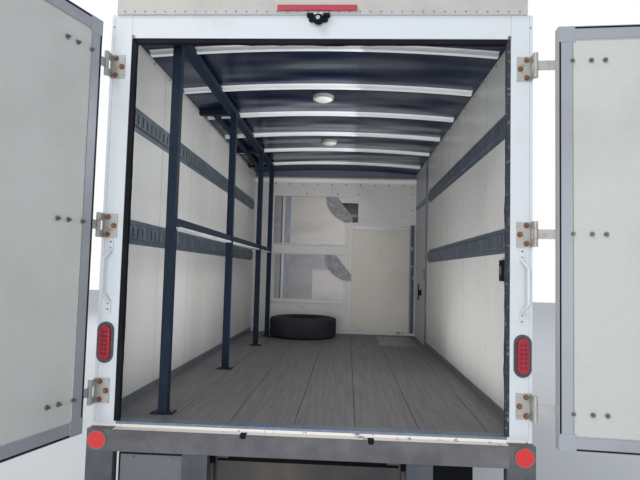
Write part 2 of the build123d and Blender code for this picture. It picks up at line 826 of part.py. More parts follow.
rim_corners = [
    (-rim_half, rim_seat + rim_flange, 0),
    (-rim_half + 7, rim_seat + rim_flange, 0),
    (-rim_half + 7, rim_seat, 0),
    (rim_half - 7, rim_seat, 0),
    (rim_half - 7, rim_seat + rim_flange, 0),
    (rim_half, rim_seat + rim_flange, 0),
    (rim_half, rim_inner, 0),
    (45, rim_inner, 0),
    (26, 168, 12),
    (52, 105, 12),
    (52, hub_radius, 0),
    (62, 48, 6),
    (66, 0, 0),
    (bore_end, 0, 0),
    (bore_end, spindle_radius + fit_gap, 0),
    (-20, spindle_radius + fit_gap, 0),
    (-20, hub_radius, 0),
    (16, hub_radius, 0),
    (16, drum_radius - 12, 0),
    (-66, drum_radius - 12, 0),
    (-66, drum_radius, 0),
    (20, drum_radius, 0),
    (24, 168, 0),
    (36, rim_inner, 0),
    (-rim_half, rim_inner, 0),
]


def wheel_turn(corners, centre_x, centre_y):
    placed = [(centre_x + out, wheel_z + up, radius) for out, up, radius in corners]
    section = outline(Plane.XZ.offset(-centre_y), placed)
    revolve(section, axis=Axis((centre_x, centre_y, wheel_z), (1, 0, 0)))


# Each axle end: (name, middle of the wheel, axle)
axle_ends = (("front", front_track_half, front_axle_y), ("rear", rear_track_half, rear_axle_y))
for end_name, centre_x, centre_y in axle_ends:
    with BuildPart() as rim_right:
        wheel_turn(rim_corners, centre_x, centre_y)
        with BuildSketch(Plane.YZ.offset(centre_x)) as hand_holes:
            with Locations((centre_y, wheel_z)):
                with PolarLocations(137, 8):
                    Circle(17)
        extrude(hand_holes.sketch, amount=60, mode=Mode.SUBTRACT)
    rim_right.part.label = f"rim_{end_name}_right"
    export_step(rim_right.part, f"parts/rim_{end_name}_right.step")
    with BuildPart() as rim_left:
        mirror(rim_right.part, about=Plane.YZ)
    rim_left.part.label = f"rim_{end_name}_left"
    export_step(rim_left.part, f"parts/rim_{end_name}_left.step")
    with BuildPart() as tyre_right:
        wheel_turn(tyre_corners, centre_x, centre_y)
    tyre_right.part.label = f"tyre_{end_name}_right"
    export_step(tyre_right.part, f"parts/tyre_{end_name}_right.step")
    with BuildPart() as tyre_left:
        mirror(tyre_right.part, about=Plane.YZ)
    tyre_left.part.label = f"tyre_{end_name}_left"
    export_step(tyre_left.part, f"parts/tyre_{end_name}_left.step")

# Spare tyre, lying on the load floor beside the rack's last upright
spare_x = -315
spare_y = load_length - tyre_radius - 6
with BuildPart() as spare_tyre:
    standing = [
        (spare_x + up, seat_gap + half_tyre + out, radius) for out, up, radius in tyre_corners
    ]
    revolve(outline(Plane.XZ.offset(-spare_y), standing), axis=Axis((spare_x, spare_y, 0), (0, 0, 1)))
spare_tyre.part.label = "spare_tyre"
export_step(spare_tyre.part, "parts/spare_tyre.step")


# Leaf spring pack, bowed in side view, between two X places
def leaf_spring(start, end, reach, eye_z, middle_y, middle_z, thickness):
    with BuildSketch(Plane.YZ.offset(start)) as pack:
        with BuildLine():
            rear = middle_y - reach
            front = middle_y + reach
            ThreePointArc((rear, eye_z), (middle_y, middle_z), (front, eye_z))
            Line((front, eye_z), (front, eye_z + thickness))
            ThreePointArc(
                (front, eye_z + thickness), (middle_y, middle_z + thickness), (rear, eye_z + thickness)
            )
            Line((rear, eye_z + thickness), (rear, eye_z))
        make_face()
    extrude(pack.sketch, amount=end - start)


# Rear axle: tube, banjo housing, springs with hangers, brake plates, spindles, drive shaft
axle_tube = 42
rear_spring = (rail_half + 43, rail_half + 113)
with BuildPart() as rear_axle:
    plate_x = rear_track_half - rim_half + 2
    bar("x", rear_axle_y, wheel_z, axle_tube, -plate_x, plate_x)
    bar("y", 0, wheel_z, 150, rear_axle_y - 90, rear_axle_y + 90)
    bar("y", 0, wheel_z, 70, rear_axle_y + 80, rear_axle_y + 290)
    for side in (-1, 1):
        bar("x", rear_axle_y, wheel_z, 150, side * plate_x, side * (plate_x + 8))
        bar(
            "x", rear_axle_y, wheel_z, spindle_radius,
            side * plate_x, side * (rear_track_half + bore_end - 4),
        )
        leaf_spring(
            side * rear_spring[0], side * rear_spring[1], 690, wheel_z + axle_tube + 30,
            rear_axle_y, wheel_z + axle_tube - 4, 36,
        )
        for place in (rear_axle_y - 690, rear_axle_y + 690):
            hanger = rectangle(place - 30, place + 30, wheel_z + axle_tube + 30, rail_top - 30, 10)
            along_x(hanger, side * rail_half, side * rear_spring[1])
    with BuildSketch(Plane.XZ.offset(-(rear_axle_y + 285))) as shaft:
        with Locations((0, wheel_z)):
            Circle(45)
    rise = gearbox_low + 92 - wheel_z
    run = gearbox_end - seat_gap - (rear_axle_y + 285)
    extrude(shaft.sketch, amount=sqrt(run**2 + rise**2), dir=(0, run, rise))
rear_axle.part.label = "rear_axle"
export_step(rear_axle.part, "parts/rear_axle.step")

# Front axle: a dropped beam on leaf springs under the rails, with bored ends for the kingpins
boss_radius = 30
boss_half = 40
beam_top = rail_front_top - rail_depth - 77
beam_low = beam_top - 70
with BuildPart() as front_axle:
    beam = both_halves(
        [
            (kingpin_half - 290, beam_low, 30),
            (kingpin_half - 20, wheel_z - boss_half, 0),
            (kingpin_half - 20, wheel_z + boss_half, 0),
            (kingpin_half - 290, beam_top, 30),
        ]
    )
    along_y(beam, front_axle_y - 30, front_axle_y + 30)
    for side in (-1, 1):
        bar(
            "z", side * kingpin_half, front_axle_y, boss_radius,
            wheel_z - boss_half, wheel_z + boss_half,
        )
        bar(
            "z", side * kingpin_half, front_axle_y, kingpin_radius + fit_gap,
            wheel_z - boss_half - 1, wheel_z + boss_half + 1, Mode.SUBTRACT,
        )
        eye_z = rail_front_top - rail_depth - 50
        leaf_spring(
            side * (rail_half - rail_flange), side * rail_half, 450, eye_z,
            front_axle_y, beam_top - 2, 30,
        )
        for place in (front_axle_y - 440, front_axle_y + 440):
            shackle = rectangle(place - 15, place + 15, eye_z, rail_front_top - rail_depth)
            along_x(shackle, side * (rail_half - rail_flange), side * rail_half)
front_axle.part.label = "front_axle"
export_step(front_axle.part, "parts/front_axle.step")

# Steering knuckles: a yoke round the beam's end, its kingpin and the wheel spindle
ear = 20
ear_gap = 5
yoke_x = kingpin_half + 36
with BuildPart() as knuckle_right:
    top = wheel_z + boss_half + ear_gap
    low = wheel_z - boss_half - ear_gap
    for bottom in (top, low - ear):
        bar("z", kingpin_half, front_axle_y, boss_radius, bottom, bottom + ear)
        arm = rectangle(kingpin_half, yoke_x + 24, front_axle_y - boss_radius, front_axle_y + boss_radius)
        along_z(arm, bottom, bottom + ear)
    plate = rectangle(yoke_x, yoke_x + 24, front_axle_y - boss_radius, front_axle_y + boss_radius)
    along_z(plate, low - ear, top + ear)
    bar("z", kingpin_half, front_axle_y, kingpin_radius, low - ear, top + ear)
    bar(
        "x", front_axle_y, wheel_z, spindle_radius,
        yoke_x + 20, front_track_half + bore_end - 4,
    )
knuckle_right.part.label = "knuckle_right"
export_step(knuckle_right.part, "parts/knuckle_right.step")

with BuildPart() as knuckle_left:
    mirror(knuckle_right.part, about=Plane.YZ)
knuckle_left.part.label = "knuckle_left"
export_step(knuckle_left.part, "parts/knuckle_left.step")

# Engine and gearbox as one plain mass on the rails
engine_half = 270
engine_rear = cab_rear + 865
with BuildPart() as engine_block:
    engine = [
        (engine_rear, -420, 0),
        (engine_rear + 760, -420, 0),
        (engine_rear + 760, 60, 40),
        (engine_rear + 680, 180, 40),
        (engine_rear, 180, 40),
    ]
    along_x(engine, -engine_half, engine_half)
    along_x(
        rectangle(gearbox_end, engine_rear + 1, gearbox_low, cab_floor_top - cab_wall - 20), -120, 120
    )
    for side in (-1, 1):
        arm = rectangle(
            side * (engine_half - 10), side * (rail_half - 30), engine_rear + 300, engine_rear + 400
        )
        along_z(arm, rail_front_top, rail_front_top + 40)
engine_block.part.label = "engine_block"
export_step(engine_block.part, "parts/engine_block.step")

# Fuel tank, hung on the left rail
with BuildPart() as fuel_tank:
    tank_rear = rear_axle_y + 810
    tank = rectangle(-rail_half - 378, -rail_half - 20, -430, -190, 45)
    along_y(tank, tank_rear, tank_rear + 1000)
    for place in (tank_rear + 200, tank_rear + 800):
        along_z(rectangle(-rail_half - 208, -rail_half, place - 25, place + 25), -240, -180)
fuel_tank.part.label = "fuel_tank"
export_step(fuel_tank.part, "parts/fuel_tank.step")

# Exhaust: down from the engine, under the right rail, muffler, and out at the side
pipe_radius = 28
pipe_x = rail_half + 88
pipe_z = -490
with BuildPart() as exhaust:
    with BuildLine() as pipe_route:
        FilletPolyline(
            (200, engine_rear + 100, -420 - seat_gap),
            (200, engine_rear + 100, pipe_z),
            (200, engine_rear - 240, pipe_z),
            (pipe_x, engine_rear - 700, pipe_z),
            (pipe_x, rear_axle_y + 760, pipe_z),
            (inner_half - 14, rear_axle_y + 610, pipe_z),
            radius=60,
        )
    with BuildSketch(Plane(pipe_route.line @ 0, z_dir=pipe_route.line % 0)):
        Circle(pipe_radius)
    sweep()
    muffler_rear = rear_axle_y + 1010
    bar("y", pipe_x, pipe_z, 95, muffler_rear, muffler_rear + 600)
    hanger_rear = muffler_rear + 200
    rail_low = rail_top - rail_depth
    along_z(
        rectangle(rail_half - 30, pipe_x + 20, hanger_rear, hanger_rear + 50), rail_low - 10, rail_low
    )
    along_z(
        rectangle(pipe_x - 20, pipe_x + 20, hanger_rear, hanger_rear + 50), pipe_z + 90, rail_low
    )
exhaust.part.label = "exhaust"
export_step(exhaust.part, "parts/exhaust.step")

# The cab's form: a side view, a front view and a plan, each carried through and intersected
cab_side = [
    (cab_rear, rocker_bottom, 0),
    (cab_rear, cab_roof + 60, 0),
    (windshield_head[0] - 290, cab_roof + 60, 0),
    (windshield_head[0], windshield_head[1], 50),
    (windshield_foot[0], windshield_foot[1], 0),
    (nose_y - 90, hood_front, 60),
    (nose_y - 15, hood_front - 85, 50),
    (nose_y, -60, 0),
    (nose_y - 10, -300, 0),
    (front_axle_y + 300, cab_door_bottom, 0),
    (front_axle_y + 300, rocker_bottom, 0),
]
cab_front = both_halves(
    [
        (cab_half - 62, rocker_bottom - 100, 0),
        (cab_half, -250, 0),
        (cab_half, 300, 0),
        (cab_half - 25, 520, 60),
        (cab_half - 162, cab_roof - 120, 60),
        (cab_half - 260, cab_roof, 60),
    ]
)
cab_plan = both_halves(
    [
        (cab_half, cab_rear - 100, 0),
        (cab_half, windshield_foot[0], 300),
        (cab_half - 40, nose_y - 300, 120),
        (cab_half - 140, nose_y - 60, 80),
        (cab_half - 300, nose_y + 10, 80),
    ]
)


def cab_form(inset):
    with BuildPart() as form:
        along_x(cab_side, -cab_half - 10, cab_half + 10, inset)
        along_y(cab_front, cab_rear - 50, nose_y + 50, inset, Mode.INTERSECT)
        along_z(cab_plan, rocker_bottom - 50, cab_roof + 50, inset, Mode.INTERSECT)
    return form.part


cab_outer = cab_form(0)
cab_inner = cab_form(cab_wall)
cab_fitted = cab_form(cab_wall + seat_gap)
cab_far = cab_half + 20

# Outlines in side view: the door, its window, and the fender's share of the cab
cab_door_outline = [
    (cab_door_rear, cab_door_bottom, 40),
    (cab_door_rear, cab_door_top, 60),
    (cab_door_front - 228, cab_door_top, 60),
    (cab_door_front, 808, 60),
    (cab_door_front, -200, 60),
    (cab_door_front - 95, cab_door_bottom, 40),
]
cab_window_outline = [
    (cab_door_rear + 75, 575, 40),
    (cab_door_rear + 75, cab_door_top - 75, 40),
    (cab_door_front - 262, cab_door_top - 75, 40),
    (cab_door_front - 68, 790, 40),
    (cab_door_front - 68, 575, 40),
]
cab_doorway = [
    (across - (rear_gap - door_line if across == cab_door_rear else 0), up, radius)
    for across, up, radius in cab_door_outline
]
fender_line = cab_door_front + door_line
cab_pin_x = cab_half + cab_pin_out
cab_pin_y = cab_door_front + door_line / 2
nose_outline = [
    (fender_line, rocker_bottom - 60, 0),
    (fender_line, 490, 0),
    (windshield_foot[0] - 30, 490, 0),
    (windshield_foot[0] + 20, 620, 0),
    (nose_y + 60, 620, 0),
    (nose_y + 60, rocker_bottom - 60, 0),
]


def wheel_arches(radius, start, mode):
    for side in (-1, 1):
        bar("x", front_axle_y, wheel_z, radius, side * start, side * cab_far, mode)


# Windshield: its plane leans between foot and head
foot = Vector(0, *windshield_foot)
head = Vector(0, *windshield_head)
lean = (head - foot).normalized()
windshield_plane = Plane(
    origin=(foot + head) * 0.5, x_dir=(1, 0, 0), z_dir=Vector(0, lean.Z, -lean.Y)
)
windshield_outline = both_halves([(cab_half - 310, -365, 60), (cab_half - 140, 350, 60)])
glass_depth = 15
glass_thickness = 6
with BuildPart() as windshield:
    pane = outline(windshield_plane.offset(-glass_depth), windshield_outline, seat_gap)
    extrude(pane, amount=-glass_thickness, dir=windshield_plane.z_dir)
windshield.part.label = "windshield"
export_step(windshield.part, "parts/windshield.step")

# Cab shell: roof, pillars, rockers and the rear ring
with BuildPart() as cab_shell:
    add(cab_outer)
    add(cab_inner, mode=Mode.SUBTRACT)
    along_x(nose_outline, -cab_far, cab_far, mode=Mode.SUBTRACT)
    ring = both_halves(
        [
            (cab_half - 90, cab_floor_top, 60),
            (cab_half - 90, 520, 60),
            (cab_half - 300, cab_roof - 80, 60),
        ]
    )
    along_y(ring, cab_rear - 1, cab_rear + cab_wall + 1, mode=Mode.SUBTRACT)
    for side in (-1, 1):
        along_x(cab_doorway, side * (cab_half - 260), side * cab_far, -door_line, Mode.SUBTRACT)
    opening = outline(windshield_plane.offset(-60), windshield_outline)
    extrude(opening, amount=120, mode=Mode.SUBTRACT)
    under = rectangle(-cab_half + 100, cab_half - 100, cab_rear - 1, fender_line + 1)
    along_z(under, rocker_bottom - 1, cab_floor_top - cab_wall, mode=Mode.SUBTRACT)
    wheel_arches(arch_radius, arch_inner, Mode.SUBTRACT)
cab_shell.part.label = "cab_shell"
export_step(cab_shell.part, "parts/cab_shell.step")

# Running boards under the doors
with BuildPart() as side_steps:
    for side in (-1, 1):
        board = rectangle(
            side * (cab_half - 130), side * (cab_half + 20), cab_door_rear + 20, cab_door_front - 120, 12
        )
        along_z(board, rocker_bottom - 30, rocker_bottom)
side_steps.part.label = "side_steps"
export_step(side_steps.part, "parts/side_steps.step")

# Cab floor, firewall and the engine cover between the seats
cover_half = 340
cover_rear = cab_rear + 785
cover_top = 360
cover_wall = 20
floor_low = cab_floor_top - cab_wall
with BuildPart() as cab_floor:
    add(cab_fitted)
    floor_and_firewall = [
        (cab_rear, floor_low, 0),
        (firewall_y + 20, floor_low, 0),
        (firewall_y + 20, 480, 0),
        (firewall_y, 480, 0),
        (firewall_y, cab_floor_top, 0),
        (cab_rear, cab_floor_top, 0),
    ]
    along_x(floor_and_firewall, -cab_far, cab_far, mode=Mode.INTERSECT)
    wheel_arches(arch_radius + liner + seat_gap, arch_inner - liner - seat_gap, Mode.SUBTRACT)
    cover = rectangle(-cover_half, cover_half, cover_rear, firewall_y + 20)
    along_z(cover, floor_low, cover_top)
    inside = rectangle(-cover_half + 20, cover_half - 20, cover_rear + 20, firewall_y + 21)
    along_z(inside, floor_low - 1, cover_top - 20, mode=Mode.SUBTRACT)
cab_floor.part.label = "cab_floor"
export_step(cab_floor.part, "parts/cab_floor.step")

# Nose: fenders, cowl and grille surround, with the wheel liners
hood_outline = both_halves([(hood_side, hood_rear, 20), (hood_side - 20, hood_nose, 60)])
grille_half = cab_half - 520
grille_opening = (-grille_half, grille_half, -30, 255)
lamp_opening = (grille_half + 35, hood_side - 5, 20, 240)
hood_slope = (windshield_foot[1] - hood_front) / (nose_y - 90 - windshield_foot[0])
hood_hinge_x = 500
hood_barrel_half = 10


def hood_top(place):
    return windshield_foot[1] - hood_slope * (place - windshield_foot[0])


hood_pin_z = hood_top(hood_rear) + cab_barrel + 1


# One knuckle of a hood hinge with its leaf, ahead of the pin (1) or behind it (-1)
def hood_hinge(side, ahead, start, end):
    centre = side * hood_hinge_x
    bar("x", hood_rear, hood_pin_z, cab_barrel, centre + start, centre + end)
    leaf_root = hood_rear + ahead
    leaf_end = hood_rear + ahead * 40
    leaf = [
        (leaf_root, hood_top(leaf_root) - 1, 0),
        (leaf_end, hood_top(leaf_end) - 1, 0),
        (leaf_end, hood_top(leaf_end) + 3, 0),
        (leaf_root, hood_top(leaf_root) + 3, 0),
    ]
    along_x(leaf, centre + start, centre + end)


with BuildPart() as wheel_liners:
    add(cab_form(cab_wall / 2))
    bar(
        "x", front_axle_y, wheel_z, arch_radius + liner, arch_inner - liner, cab_far, Mode.INTERSECT
    )
    along_x(nose_outline, 0, cab_far, mode=Mode.INTERSECT)
    mirror(about=Plane.YZ)
with BuildPart() as nose_panels:
    add(cab_outer)
    add(cab_inner, mode=Mode.SUBTRACT)
    along_x(nose_outline, -cab_far, cab_far, mode=Mode.INTERSECT)
    along_z(hood_outline, hood_front - 85, cab_roof, mode=Mode.SUBTRACT)
    opening = rectangle(*grille_opening, 20)
    along_y(opening, nose_y - 60, nose_y + 20, mode=Mode.SUBTRACT)
    for side in (-1, 1):
        near, far, low, high = lamp_opening
        lamp = rectangle(side * near, side * far, low, high, 25)
        along_y(lamp, nose_y - 120, nose_y + 20, mode=Mode.SUBTRACT)
    under = rectangle(-cab_half + 100, cab_half - 100, fender_line - 1, nose_y - 60)
    along_z(under, rocker_bottom - 1, -240, mode=Mode.SUBTRACT)
    add(wheel_liners.part)
    wheel_arches(arch_radius, arch_inner, Mode.SUBTRACT)
    for side in (-1, 1):
        for place in cab_hinges:
            for low, high in ((place - 40, place - 20), (place + 20, place + 40)):
                hinge = rectangle(
                    side * cab_half, side * (cab_half + 3), cab_pin_y, cab_pin_y + 44
                )
                along_z(hinge, low, high)
                bar("z", side * cab_pin_x, cab_pin_y, cab_barrel, low, high)
            bar("z", side * cab_pin_x, cab_pin_y, cab_pin, place - 40, place + 40)
        hood_hinge(side, -1, hood_barrel_half + 1, hood_barrel_half + 16)
        hood_hinge(side, -1, -hood_barrel_half - 16, -hood_barrel_half - 1)
        bar(
            "x", hood_rear, hood_pin_z, cab_pin,
            side * hood_hinge_x - hood_barrel_half - 16, side * hood_hinge_x + hood_barrel_half + 16,
        )
nose_panels.part.label = "nose_panels"
export_step(nose_panels.part, "parts/nose_panels.step")

# Hood, hung at its rear edge
with BuildPart() as hood:
    add(cab_outer)
    add(cab_form(30), mode=Mode.SUBTRACT)
    along_z(hood_outline, hood_front - 85, cab_roof, panel_gap, Mode.INTERSECT)
    for side in (-1, 1):
        hood_hinge(side, 1, -hood_barrel_half, hood_barrel_half)
        bar(
            "x", hood_rear, hood_pin_z, cab_pin + fit_gap,
            side * hood_hinge_x - hood_barrel_half - 1, side * hood_hinge_x + hood_barrel_half + 1,
            Mode.SUBTRACT,
        )
hood.part.label = "hood"
export_step(hood.part, "parts/hood.step")

# Grille and head lamps follow the nose's face
with BuildPart() as grille:
    add(cab_form(3))
    near, far, low, high = grille_opening
    face = rectangle(near + seat_gap, far - seat_gap, low + seat_gap, high - seat_gap, 20)
    along_y(face, nose_y - 40, nose_y + 20, mode=Mode.INTERSECT)
    bars = 6
    pitch = (high - low - 30) / bars
    for index in range(bars):
        start = low + 22 + index * pitch
        slot = rectangle(near + 25, far - 25, start, start + pitch - 14, 4)
        along_y(slot, nose_y - 50, nose_y + 20, mode=Mode.SUBTRACT)
grille.part.label = "grille"
export_step(grille.part, "parts/grille.step")

with BuildPart() as head_lamps:
    add(cab_form(2))
    near, far, low, high = lamp_opening
    lamp = rectangle(near + seat_gap, far - seat_gap, low + seat_gap, high - seat_gap, 25)
    along_y(lamp, nose_y - 70, nose_y + 20, mode=Mode.INTERSECT)
    mirror(about=Plane.YZ)
head_lamps.part.label = "head_lamps"
export_step(head_lamps.part, "parts/head_lamps.step")

# Front bumper with brackets to the rails
bumper_low = -440
bumper_high = -250
with BuildPart() as front_bumper:
    bumper = both_halves(
        [
            (cab_half - 45, nose_y - 160, 0),
            (cab_half - 15, nose_y - 160, 0),
            (cab_half - 15, nose_y + 10, 60),
            (cab_half - 280, nose_y + 75, 90),
        ]
    )
    back = both_halves(
        [
            (cab_half - 45, nose_y - 161, 0),
            (cab_half - 45, nose_y - 14, 40),
            (cab_half - 288, nose_y + 45, 70),
        ]
    )
    along_z(bumper, bumper_low, bumper_high)
    along_z(back, bumper_low - 1, bumper_high + 1, mode=Mode.SUBTRACT)
    for side in (-1, 1):
        arm = rectangle(side * (rail_web - 44), side * rail_web, rail_front - 28, nose_y + 50)
        along_z(arm, rail_front_top - rail_depth + rail_wall, bumper_low + 95)
front_bumper.part.label = "front_bumper"
export_step(front_bumper.part, "parts/front_bumper.step")

# Cab doors: the shell's share inside the door outline, with glass and mirror
mirror_low = 520
with BuildPart() as cab_door_right:
    add(cab_outer)
    add(cab_inner, mode=Mode.SUBTRACT)
    along_x(cab_door_outline, cab_half - 260, cab_far, mode=Mode.INTERSECT)
    along_x(cab_window_outline, cab_half - 260, cab_far, mode=Mode.SUBTRACT)
    mirror_rear = cab_door_front - 130
    arm = rectangle(cab_half - cab_wall, cab_half + 150, mirror_rear + 20, mirror_rear + 55)
    along_z(arm, mirror_low + 10, mirror_low + 40)
    housing = rectangle(cab_half + 80, cab_half + 270, mirror_rear, mirror_rear + 70, 20)
    along_z(housing, mirror_low, mirror_low + 340)
    handle = rectangle(cab_half - 10, cab_half + 22, cab_door_rear + 55, cab_door_rear + 195, 8)
    along_z(handle, 250, 280)
    grip = rectangle(cab_half - 1, cab_half + 12, cab_door_rear + 75, cab_door_rear + 175)
    along_z(grip, 249, 281, mode=Mode.SUBTRACT)
    for place in cab_hinges:
        along_z(rectangle(cab_half, cab_half + 3, cab_pin_y - 44, cab_pin_y), place - 19, place + 19)
        bar("z", cab_pin_x, cab_pin_y, cab_barrel, place - 19, place + 19)
        bar(
            "z", cab_pin_x, cab_pin_y, cab_pin + fit_gap, place - 20, place + 20, Mode.SUBTRACT
        )
cab_door_right.part.label = "cab_door_right"
export_step(cab_door_right.part, "parts/cab_door_right.step")

with BuildPart() as cab_door_left:
    mirror(cab_door_right.part, about=Plane.YZ)
cab_door_left.part.label = "cab_door_left"
export_step(cab_door_left.part, "parts/cab_door_left.step")

with BuildPart() as door_glass_right:
    add(cab_form(glass_depth))
    add(cab_form(glass_depth + glass_thickness), mode=Mode.SUBTRACT)
    along_x(cab_window_outline, cab_half - 260, cab_far, seat_gap, Mode.INTERSECT)
door_glass_right.part.label = "door_glass_right"
export_step(door_glass_right.part, "parts/door_glass_right.step")

with BuildPart() as door_glass_left:
    mirror(door_glass_right.part, about=Plane.YZ)
door_glass_left.part.label = "door_glass_left"
export_step(door_glass_left.part, "parts/door_glass_left.step")

# Dashboard with the steering column, and the steering wheel on it
driver_x = -450
column_foot = Vector(driver_x, firewall_y - 190, 398)
wheel_hub = Vector(driver_x, firewall_y - 414, 554)
column = (wheel_hub - column_foot).normalized()
column_plane = Plane(origin=column_foot, x_dir=(1, 0, 0), z_dir=column)
column_length = (wheel_hub - column_foot).length
with BuildPart() as dashboard:
    dash = [
        (firewall_y, cover_top, 0),
        (firewall_y, 500, 60),
        (firewall_y - 190, 478, 40),
        (firewall_y - 270, 420, 30),
        (firewall_y - 240, cover_top, 0),
    ]
    along_x(dash, -cab_half + 90, cab_half - 90)
    with BuildSketch(column_plane) as column_section:
        Circle(34)
    extrude(column_section.sketch, amount=column_length - 40)
    with BuildSketch(column_plane) as stub:
        Circle(12)
    extrude(stub.sketch, amount=column_length + 8)
dashboard.part.label = "dashboard"
export_step(dashboard.part, "parts/dashboard.step")

wheel_plane = Plane(origin=wheel_hub, x_dir=(1, 0, 0), z_dir=column)
with BuildPart() as steering_wheel:
    with BuildSketch(Plane(origin=wheel_hub, x_dir=(1, 0, 0), z_dir=wheel_plane.y_dir)) as rim_section:
        with Locations((190, 0)):
            Circle(13)
    revolve(rim_section.sketch, axis=Axis(wheel_hub, column))
    with BuildSketch(wheel_plane.offset(-22)) as hub_section:
        Circle(45)
    extrude(hub_section.sketch, amount=36)
    with BuildSketch(wheel_plane.offset(-10)) as spokes:
        with PolarLocations(112, 3, start_angle=90):
            Rectangle(160, 30)
    extrude(spokes.sketch, amount=12)
    with BuildSketch(wheel_plane.offset(-23)) as bore:
        Circle(12 + fit_gap)
    extrude(bore.sketch, amount=32, mode=Mode.SUBTRACT)
steering_wheel.part.label = "steering_wheel"
export_step(steering_wheel.part, "parts/steering_wheel.step")

# Cab seats: pedestal, cushion and back in one side view
seat_rear = cab_rear + 85
seat_side = [
    (seat_rear + 160, cab_floor_top, 0),
    (seat_rear + 540, cab_floor_top, 0),
    (seat_rear + 540, 50, 0),
    (seat_rear + 630, 60, 30),
    (seat_rear + 640, 190, 50),
    (seat_rear + 240, 165, 50),
    (seat_rear + 120, 780, 45),
    (seat_rear, 760, 45),
    (seat_rear + 110, 60, 50),
    (seat_rear + 160, 50, 0),
]
with BuildPart() as cab_seats:
    for side in (-1, 1):
        seat_x = side * abs(driver_x)
        along_x(seat_side, seat_x - 230, seat_x + 230)
        beside = rectangle(seat_rear + 80, seat_rear + 680, cab_floor_top - 1, 40)
        for rest in (seat_x - 231, seat_x + 171):
            along_x(beside, rest, rest + 60, mode=Mode.SUBTRACT)
cab_seats.part.label = "cab_seats"
export_step(cab_seats.part, "parts/cab_seats.step")

# Nose cap over the cab, open to the load space through the high opening
cap_thickness = 20
cap_front_y = cab_rear + 685
cap_side = [
    (cab_rear, cab_roof, 0),
    (cab_rear, wall_top + 60, 0),
    (cab_rear + 185, wall_top + 60, 0),
    (cab_rear + 545, wall_top - 125, 220),
    (cap_front_y, 1500, 160),
    (cap_front_y - 20, cab_roof, 0),
]
cap_front = both_halves(
    [
        (skin_half, cab_roof - 60, 0),
        (skin_half, wall_top - 20, 70),
        (skin_half - 310, wall_top, 0),
    ]
)
cap_plan = both_halves(
    [
        (skin_half, cab_rear - 60, 0),
        (skin_half, cap_front_y - 120, 180),
        (skin_half - 250, cap_front_y + 10, 100),
    ]
)


def cap_form(inset):
    with BuildPart() as form:
        along_x(cap_side, -body_half, body_half, inset)
        along_y(cap_front, cab_rear - 50, cap_front_y + 60, inset, Mode.INTERSECT)
        along_z(cap_plan, cab_roof - 50, wall_top + 50, inset, Mode.INTERSECT)
    return form.part


with BuildPart() as nose_cap:
    add(cap_form(0))
    add(cap_form(cap_thickness), mode=Mode.SUBTRACT)
    mouth = both_halves([(skin_half - 60, cab_roof + 25, 20), (skin_half - 60, wall_top - 120, 20)])
    along_y(mouth, cab_rear - 1, cab_rear + cap_thickness + 1, mode=Mode.SUBTRACT)
nose_cap.part.label = "nose_cap"
export_step(nose_cap.part, "parts/nose_cap.step")
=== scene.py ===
import math
import random

import bpy
from mathutils import Matrix, Vector


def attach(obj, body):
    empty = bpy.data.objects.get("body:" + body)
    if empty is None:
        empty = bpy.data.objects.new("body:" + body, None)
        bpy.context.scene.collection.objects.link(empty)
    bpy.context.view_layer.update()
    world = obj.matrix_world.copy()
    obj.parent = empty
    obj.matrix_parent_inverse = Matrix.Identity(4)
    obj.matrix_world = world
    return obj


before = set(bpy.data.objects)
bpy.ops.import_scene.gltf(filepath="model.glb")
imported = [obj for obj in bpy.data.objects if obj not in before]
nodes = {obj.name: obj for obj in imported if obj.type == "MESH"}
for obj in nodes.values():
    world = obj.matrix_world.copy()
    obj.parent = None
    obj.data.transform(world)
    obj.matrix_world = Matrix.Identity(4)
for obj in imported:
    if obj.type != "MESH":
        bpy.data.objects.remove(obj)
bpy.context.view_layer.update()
random.seed(7)
print("frame loaded")

# Sizes in metres that the pieces share. The floor's top is z = 0 and the posts' outside is y = 0.
body = {"postInner": 0.915, "header": 1.846, "bulkhead": 3.893, "ground": -0.86}
wheel = {
    "radius": 0.372, "up": -0.488, "along": {"front": 5.4, "rear": 1.39},
    "across": {"front": 0.875, "rear": 0.85},
}
hands = {"right": 1, "left": -1}
both = (-1, 1)  # left, right


# Materials: a base colour broken by soft noise, and zones of the same piece, some with another finish and
# some with painted light and shade.
# The noise is clean below "start" and full of dirt above "full". A zone is a box in object space,
# with limits in x, y, z or side, which is the distance from the middle plane.
usual = {
    "metal": 0.0, "coat": 0.0, "shine": 0.5, "alpha": 1.0, "stretch": (1, 1, 1), "scale": 2.0,
    "detail": 6.0, "broken": 0.6, "start": 0.5, "full": 0.75, "grain": 60.0, "grainDetail": 3.0,
    "bump": 0.0, "depth": 0.001, "zones": (), "dirtShade": 0.8,
}


def surface(color, rough, dirt=None, **more):
    dirt = dirt or tuple(channel * usual["dirtShade"] for channel in color)
    return {**usual, "color": color, "rough": rough, "dirt": dirt, **more}


def addNode(tree, kind, **settings):
    node = tree.nodes.new(kind)
    for key, value in settings.items():
        setattr(node, key, value)
    return node


# A socket takes a link from another socket, or a value
def feed(tree, socket, value):
    if isinstance(value, bpy.types.NodeSocket):
        tree.links.new(value, socket)
    else:
        socket.default_value = value


def mathNode(tree, operation, first, second=0.0):
    node = addNode(tree, "ShaderNodeMath", operation=operation)
    feed(tree, node.inputs[0], first)
    feed(tree, node.inputs[1], second)
    return node.outputs[0]


def mixColors(tree, factor, first, second):
    node = addNode(tree, "ShaderNodeMix", data_type="RGBA")
    feed(tree, node.inputs["Factor"], factor)
    for key, value in (("A", first), ("B", second)):
        feed(tree, node.inputs[key], (*value, 1) if isinstance(value, tuple) else value)
    return node.outputs["Result"]


def mixValues(tree, factor, first, second):
    step = mathNode(tree, "SUBTRACT", second, first)
    return mathNode(tree, "ADD", mathNode(tree, "MULTIPLY", step, factor), first)


